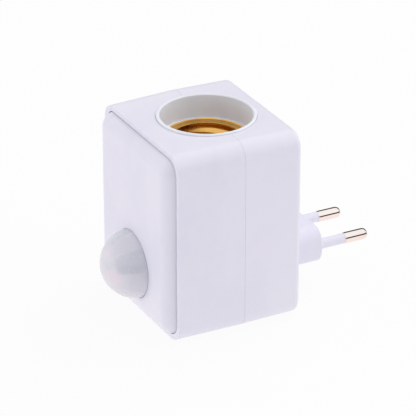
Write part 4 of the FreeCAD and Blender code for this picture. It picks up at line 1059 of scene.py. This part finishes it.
@dataclass
class Studio:
    """The camera of the photograph, the pale floor and the soft light.

    Spans hold where a fade starts and ends. In the surroundings, X, Y and Z are those of a direction.

    Attributes:
        place: Where the camera stands.
        azimuth: Its turn from the front to the right, in degrees.
        elevation: How far it looks down, in degrees.
        focal_pixels: Its focal length in pixels.
        picture_pixels: The picture's width.
        sensor: Width of its sensor, in millimetres.
        clip: Nearest and farthest distance seen.
        sky_low: Least light of the surroundings.
        sky_high: Most light, in their brightest direction.
        sky_lean: How far that leans from the zenith to the back.
        softboxes: The lamps.
        aim: Where they point.
        table_tilt: How fast the table's far edge rises to the right.
        table_across: Where it fades in along X.
        table_height: How far above and below its line it fades out.
        table_blur: Where the table's light turns into the room's.
        table_light: Colour of the table's light.
        dark_across: Where the dark side fades out along X.
        dark_depth: Where it fades in along Y.
        dark_foot: Where it fades in along Z.
        dark_top: Where it fades out along Z.
        dark: Colour of both dark places.
        floor_half: Half the floor's width.
        floor_height: The floor's height.
        floor_paper: Colour of its paper.
        floor_fibre: Colour of the fibres.
        fibre: Their cells in a metre.
        fibre_tone: How much of them shows.
        floor_glow: How much of the floor is white light to the camera.
        near_floor: How much of it is white light to the object.
        near_reach: Distances over which that fades out.
    """

    place: Vector = field(default_factory=lambda: Vector((0.801614, -0.420336, 0.484922)))
    azimuth: float = 62.2972
    elevation: float = 26.4753
    focal_pixels: float = 2930.9
    picture_pixels: float = 416.0
    sensor: float = 36.0
    clip: Span = (0.05, 30.0)
    sky_low: float = 0.4
    sky_high: float = 1.25
    sky_lean: float = math.radians(30.0)
    softboxes: tuple[Softbox, ...] = (Softbox("front_softbox", (-0.45, -1.2, 0.05), 1.1, 9.2),
                                      Softbox("top_softbox", (-0.15, 0.9, 0.95), 0.9, 2.8),
                                      Softbox("side_softbox", (1.05, 0.72, 0.2), 0.8, 1.7))
    aim: Triple = (0.0, 0.0, 0.035)
    table_tilt: float = 0.195
    table_across: Span = (0.1, 0.35)
    table_height: Span = (0.15, 0.26)
    table_blur: Span = (-0.02, 0.02)
    table_light: Color = linear(255, 245, 243)
    dark_across: Span = (-0.4, 0.25)
    dark_depth: Span = (0.26, 0.36)
    dark_foot: Span = (-0.46, -0.41)
    dark_top: Span = (0.5, 0.75)
    dark: Color = (0.03, 0.025, 0.02)
    floor_half: float = 1.5
    floor_height: float = -0.05 * MM
    floor_paper: Color = linear(232, 232, 238)
    floor_fibre: Color = linear(228, 228, 234)
    fibre: float = 900.0
    fibre_tone: float = 0.3
    floor_glow: float = 0.9
    near_floor: float = 0.95
    near_reach: Span = (0.05, 0.28)

    def camera(self) -> None:
        """Makes the camera: right, up and backward are the columns of its turn."""
        turn, rise = math.radians(self.azimuth), math.radians(self.elevation)
        level = math.cos(rise)
        back = Vector((math.sin(turn) * level, -math.cos(turn) * level, math.sin(rise)))
        right = Vector((math.cos(turn), math.sin(turn), 0.0))
        up = back.cross(right)
        data = bpy.data.cameras.new("photo_camera")
        data.sensor_width = self.sensor
        data.lens = self.focal_pixels * self.sensor / self.picture_pixels
        data.clip_start, data.clip_end = self.clip
        holder = bpy.data.objects.new("photo_camera", data)
        facing = Matrix((right, up, back)).transposed().to_4x4()
        holder.matrix_world = Matrix.Translation(self.place) @ facing
        bpy.context.scene.collection.objects.link(holder)
        bpy.context.scene.camera = holder

    def hang(self, box: Softbox) -> None:
        """Hangs one softbox so that it points at the object.

        Args:
            box: The lamp.
        """
        data = bpy.data.lights.new(box.name, "AREA")
        data.shape = "SQUARE"
        data.size = box.side
        data.energy = box.power
        holder = bpy.data.objects.new(box.name, data)
        holder.visible_glossy = False
        facing = (Vector(self.aim) - Vector(box.place)).to_track_quat("-Z", "Y").to_matrix().to_4x4()
        holder.matrix_world = Matrix.Translation(box.place) @ facing
        bpy.context.scene.collection.objects.link(holder)

    def world(self) -> None:
        """Soft white surroundings, brightest above and behind, with two dark places that only mirrors see.

        The two are the table's far edge and one dark side. The light grows with the cosine between a
        direction and the one that leans back from the zenith by sky_lean.
        """
        world = bpy.data.worlds.new("studio_world")
        bpy.context.scene.world = world
        graph = Graph(world)
        rays = graph.node("ShaderNodeLightPath", {}, {})
        seen = Number(graph, rays.outputs["Is Camera Ray"])
        mirrored = Number(graph, rays.outputs["Is Glossy Ray"]).largest(
            Number(graph, rays.outputs["Is Transmission Ray"]))
        way = graph.node("ShaderNodeTexCoord", {}, {}).outputs["Generated"]
        parts = graph.node("ShaderNodeSeparateXYZ", {}, {0: way})
        across, deep, high = (Number(graph, parts.outputs[k]) for k in range(3))
        over = high - across * self.table_tilt
        edge = across.ramp(*self.table_across) * (1.0 - over.size().ramp(*self.table_height))
        side = (1.0 - across.ramp(*self.dark_across)) * deep.ramp(*self.dark_depth)
        side = side * (1.0 - high.ramp(*self.dark_top)) * high.ramp(*self.dark_foot)
        below = 1.0 - over.ramp(*self.table_blur)
        toward = (high * math.cos(self.sky_lean) + deep * math.sin(self.sky_lean)).largest(0.0)
        sky = graph.blend(toward, (self.sky_low,) * 3, (self.sky_high,) * 3)
        warm = graph.blend(below, WHITE, self.table_light)
        reflected = graph.blend(edge.largest(side), warm, self.dark)
        ambient, shown, plain = (
            graph.node("ShaderNodeBackground", {}, {"Color": color, "Strength": 1.0}).outputs[0]
            for color in (sky, reflected, (*WHITE, 1.0)))
        first = graph.node("ShaderNodeMixShader", {}, {0: mirrored, 1: ambient, 2: shown})
        last = graph.node("ShaderNodeMixShader", {}, {0: seen, 1: first.outputs[0], 2: plain})
        graph.node("ShaderNodeOutputWorld", {}, {"Surface": last.outputs[0]})

    def floor(self) -> None:
        """A wide pale floor that shows nearly white and keeps a faint shadow."""
        half, low = self.floor_half, self.floor_height
        corners = [(-half, -half, low), (half, -half, low), (half, half, low), (-half, half, low)]
        mesh = bpy.data.meshes.new("studio_floor")
        mesh.from_pydata(corners, [], [(0, 1, 2, 3)])
        piece = bpy.data.objects.new("studio_floor", mesh)
        bpy.context.scene.collection.objects.link(piece)
        material = bpy.data.materials.new("floor_paper")
        graph = Graph(material)
        rays = graph.node("ShaderNodeLightPath", {}, {})
        fibre = graph.noise((self.fibre,) * 3, detail=3.0) * self.fibre_tone
        tint = graph.blend(fibre, self.floor_paper, self.floor_fibre)
        paper = graph.node("ShaderNodeBsdfDiffuse", {}, {"Color": tint})
        glow = graph.node("ShaderNodeEmission", {}, {"Color": (*WHITE, 1.0), "Strength": 1.0})
        away = (graph.part("X") ** 2.0 + graph.part("Y") ** 2.0) ** 0.5
        near = (1.0 - away.ramp(*self.near_reach)) * self.near_floor
        seen = Number(graph, rays.outputs["Is Camera Ray"])
        share = seen * self.floor_glow + (1.0 - seen) * near
        mixed = graph.node("ShaderNodeMixShader", {}, {0: share, 1: paper.outputs[0], 2: glow.outputs[0]})
        graph.node("ShaderNodeOutputMaterial", {}, {"Surface": mixed.outputs[0]})
        mesh.materials.append(material)
        piece.visible_glossy = False

    def build(self) -> None:
        """Sets up camera, light and floor."""
        self.camera()
        self.world()
        self.floor()
        for box in self.softboxes:
            self.hang(box)
        bpy.context.scene.view_settings.view_transform = "Standard"


def main() -> None:
    """Builds the looks over the frame, piece by piece, and logs the faces of each made piece."""
    logging.basicConfig(level=logging.INFO, format="%(name)s: %(message)s")
    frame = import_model()
    Studio().build()
    FrameDress().dress(frame["nodes"])
    made = [SensorLens().build(), LampSocket().build(), ContactSpring().build(), *MainsPlug().build()]
    for piece in made:
        LOG.info("made %s with %d faces", piece.name, len(piece.data.polygons))


if __name__ == "__main__":
    main()
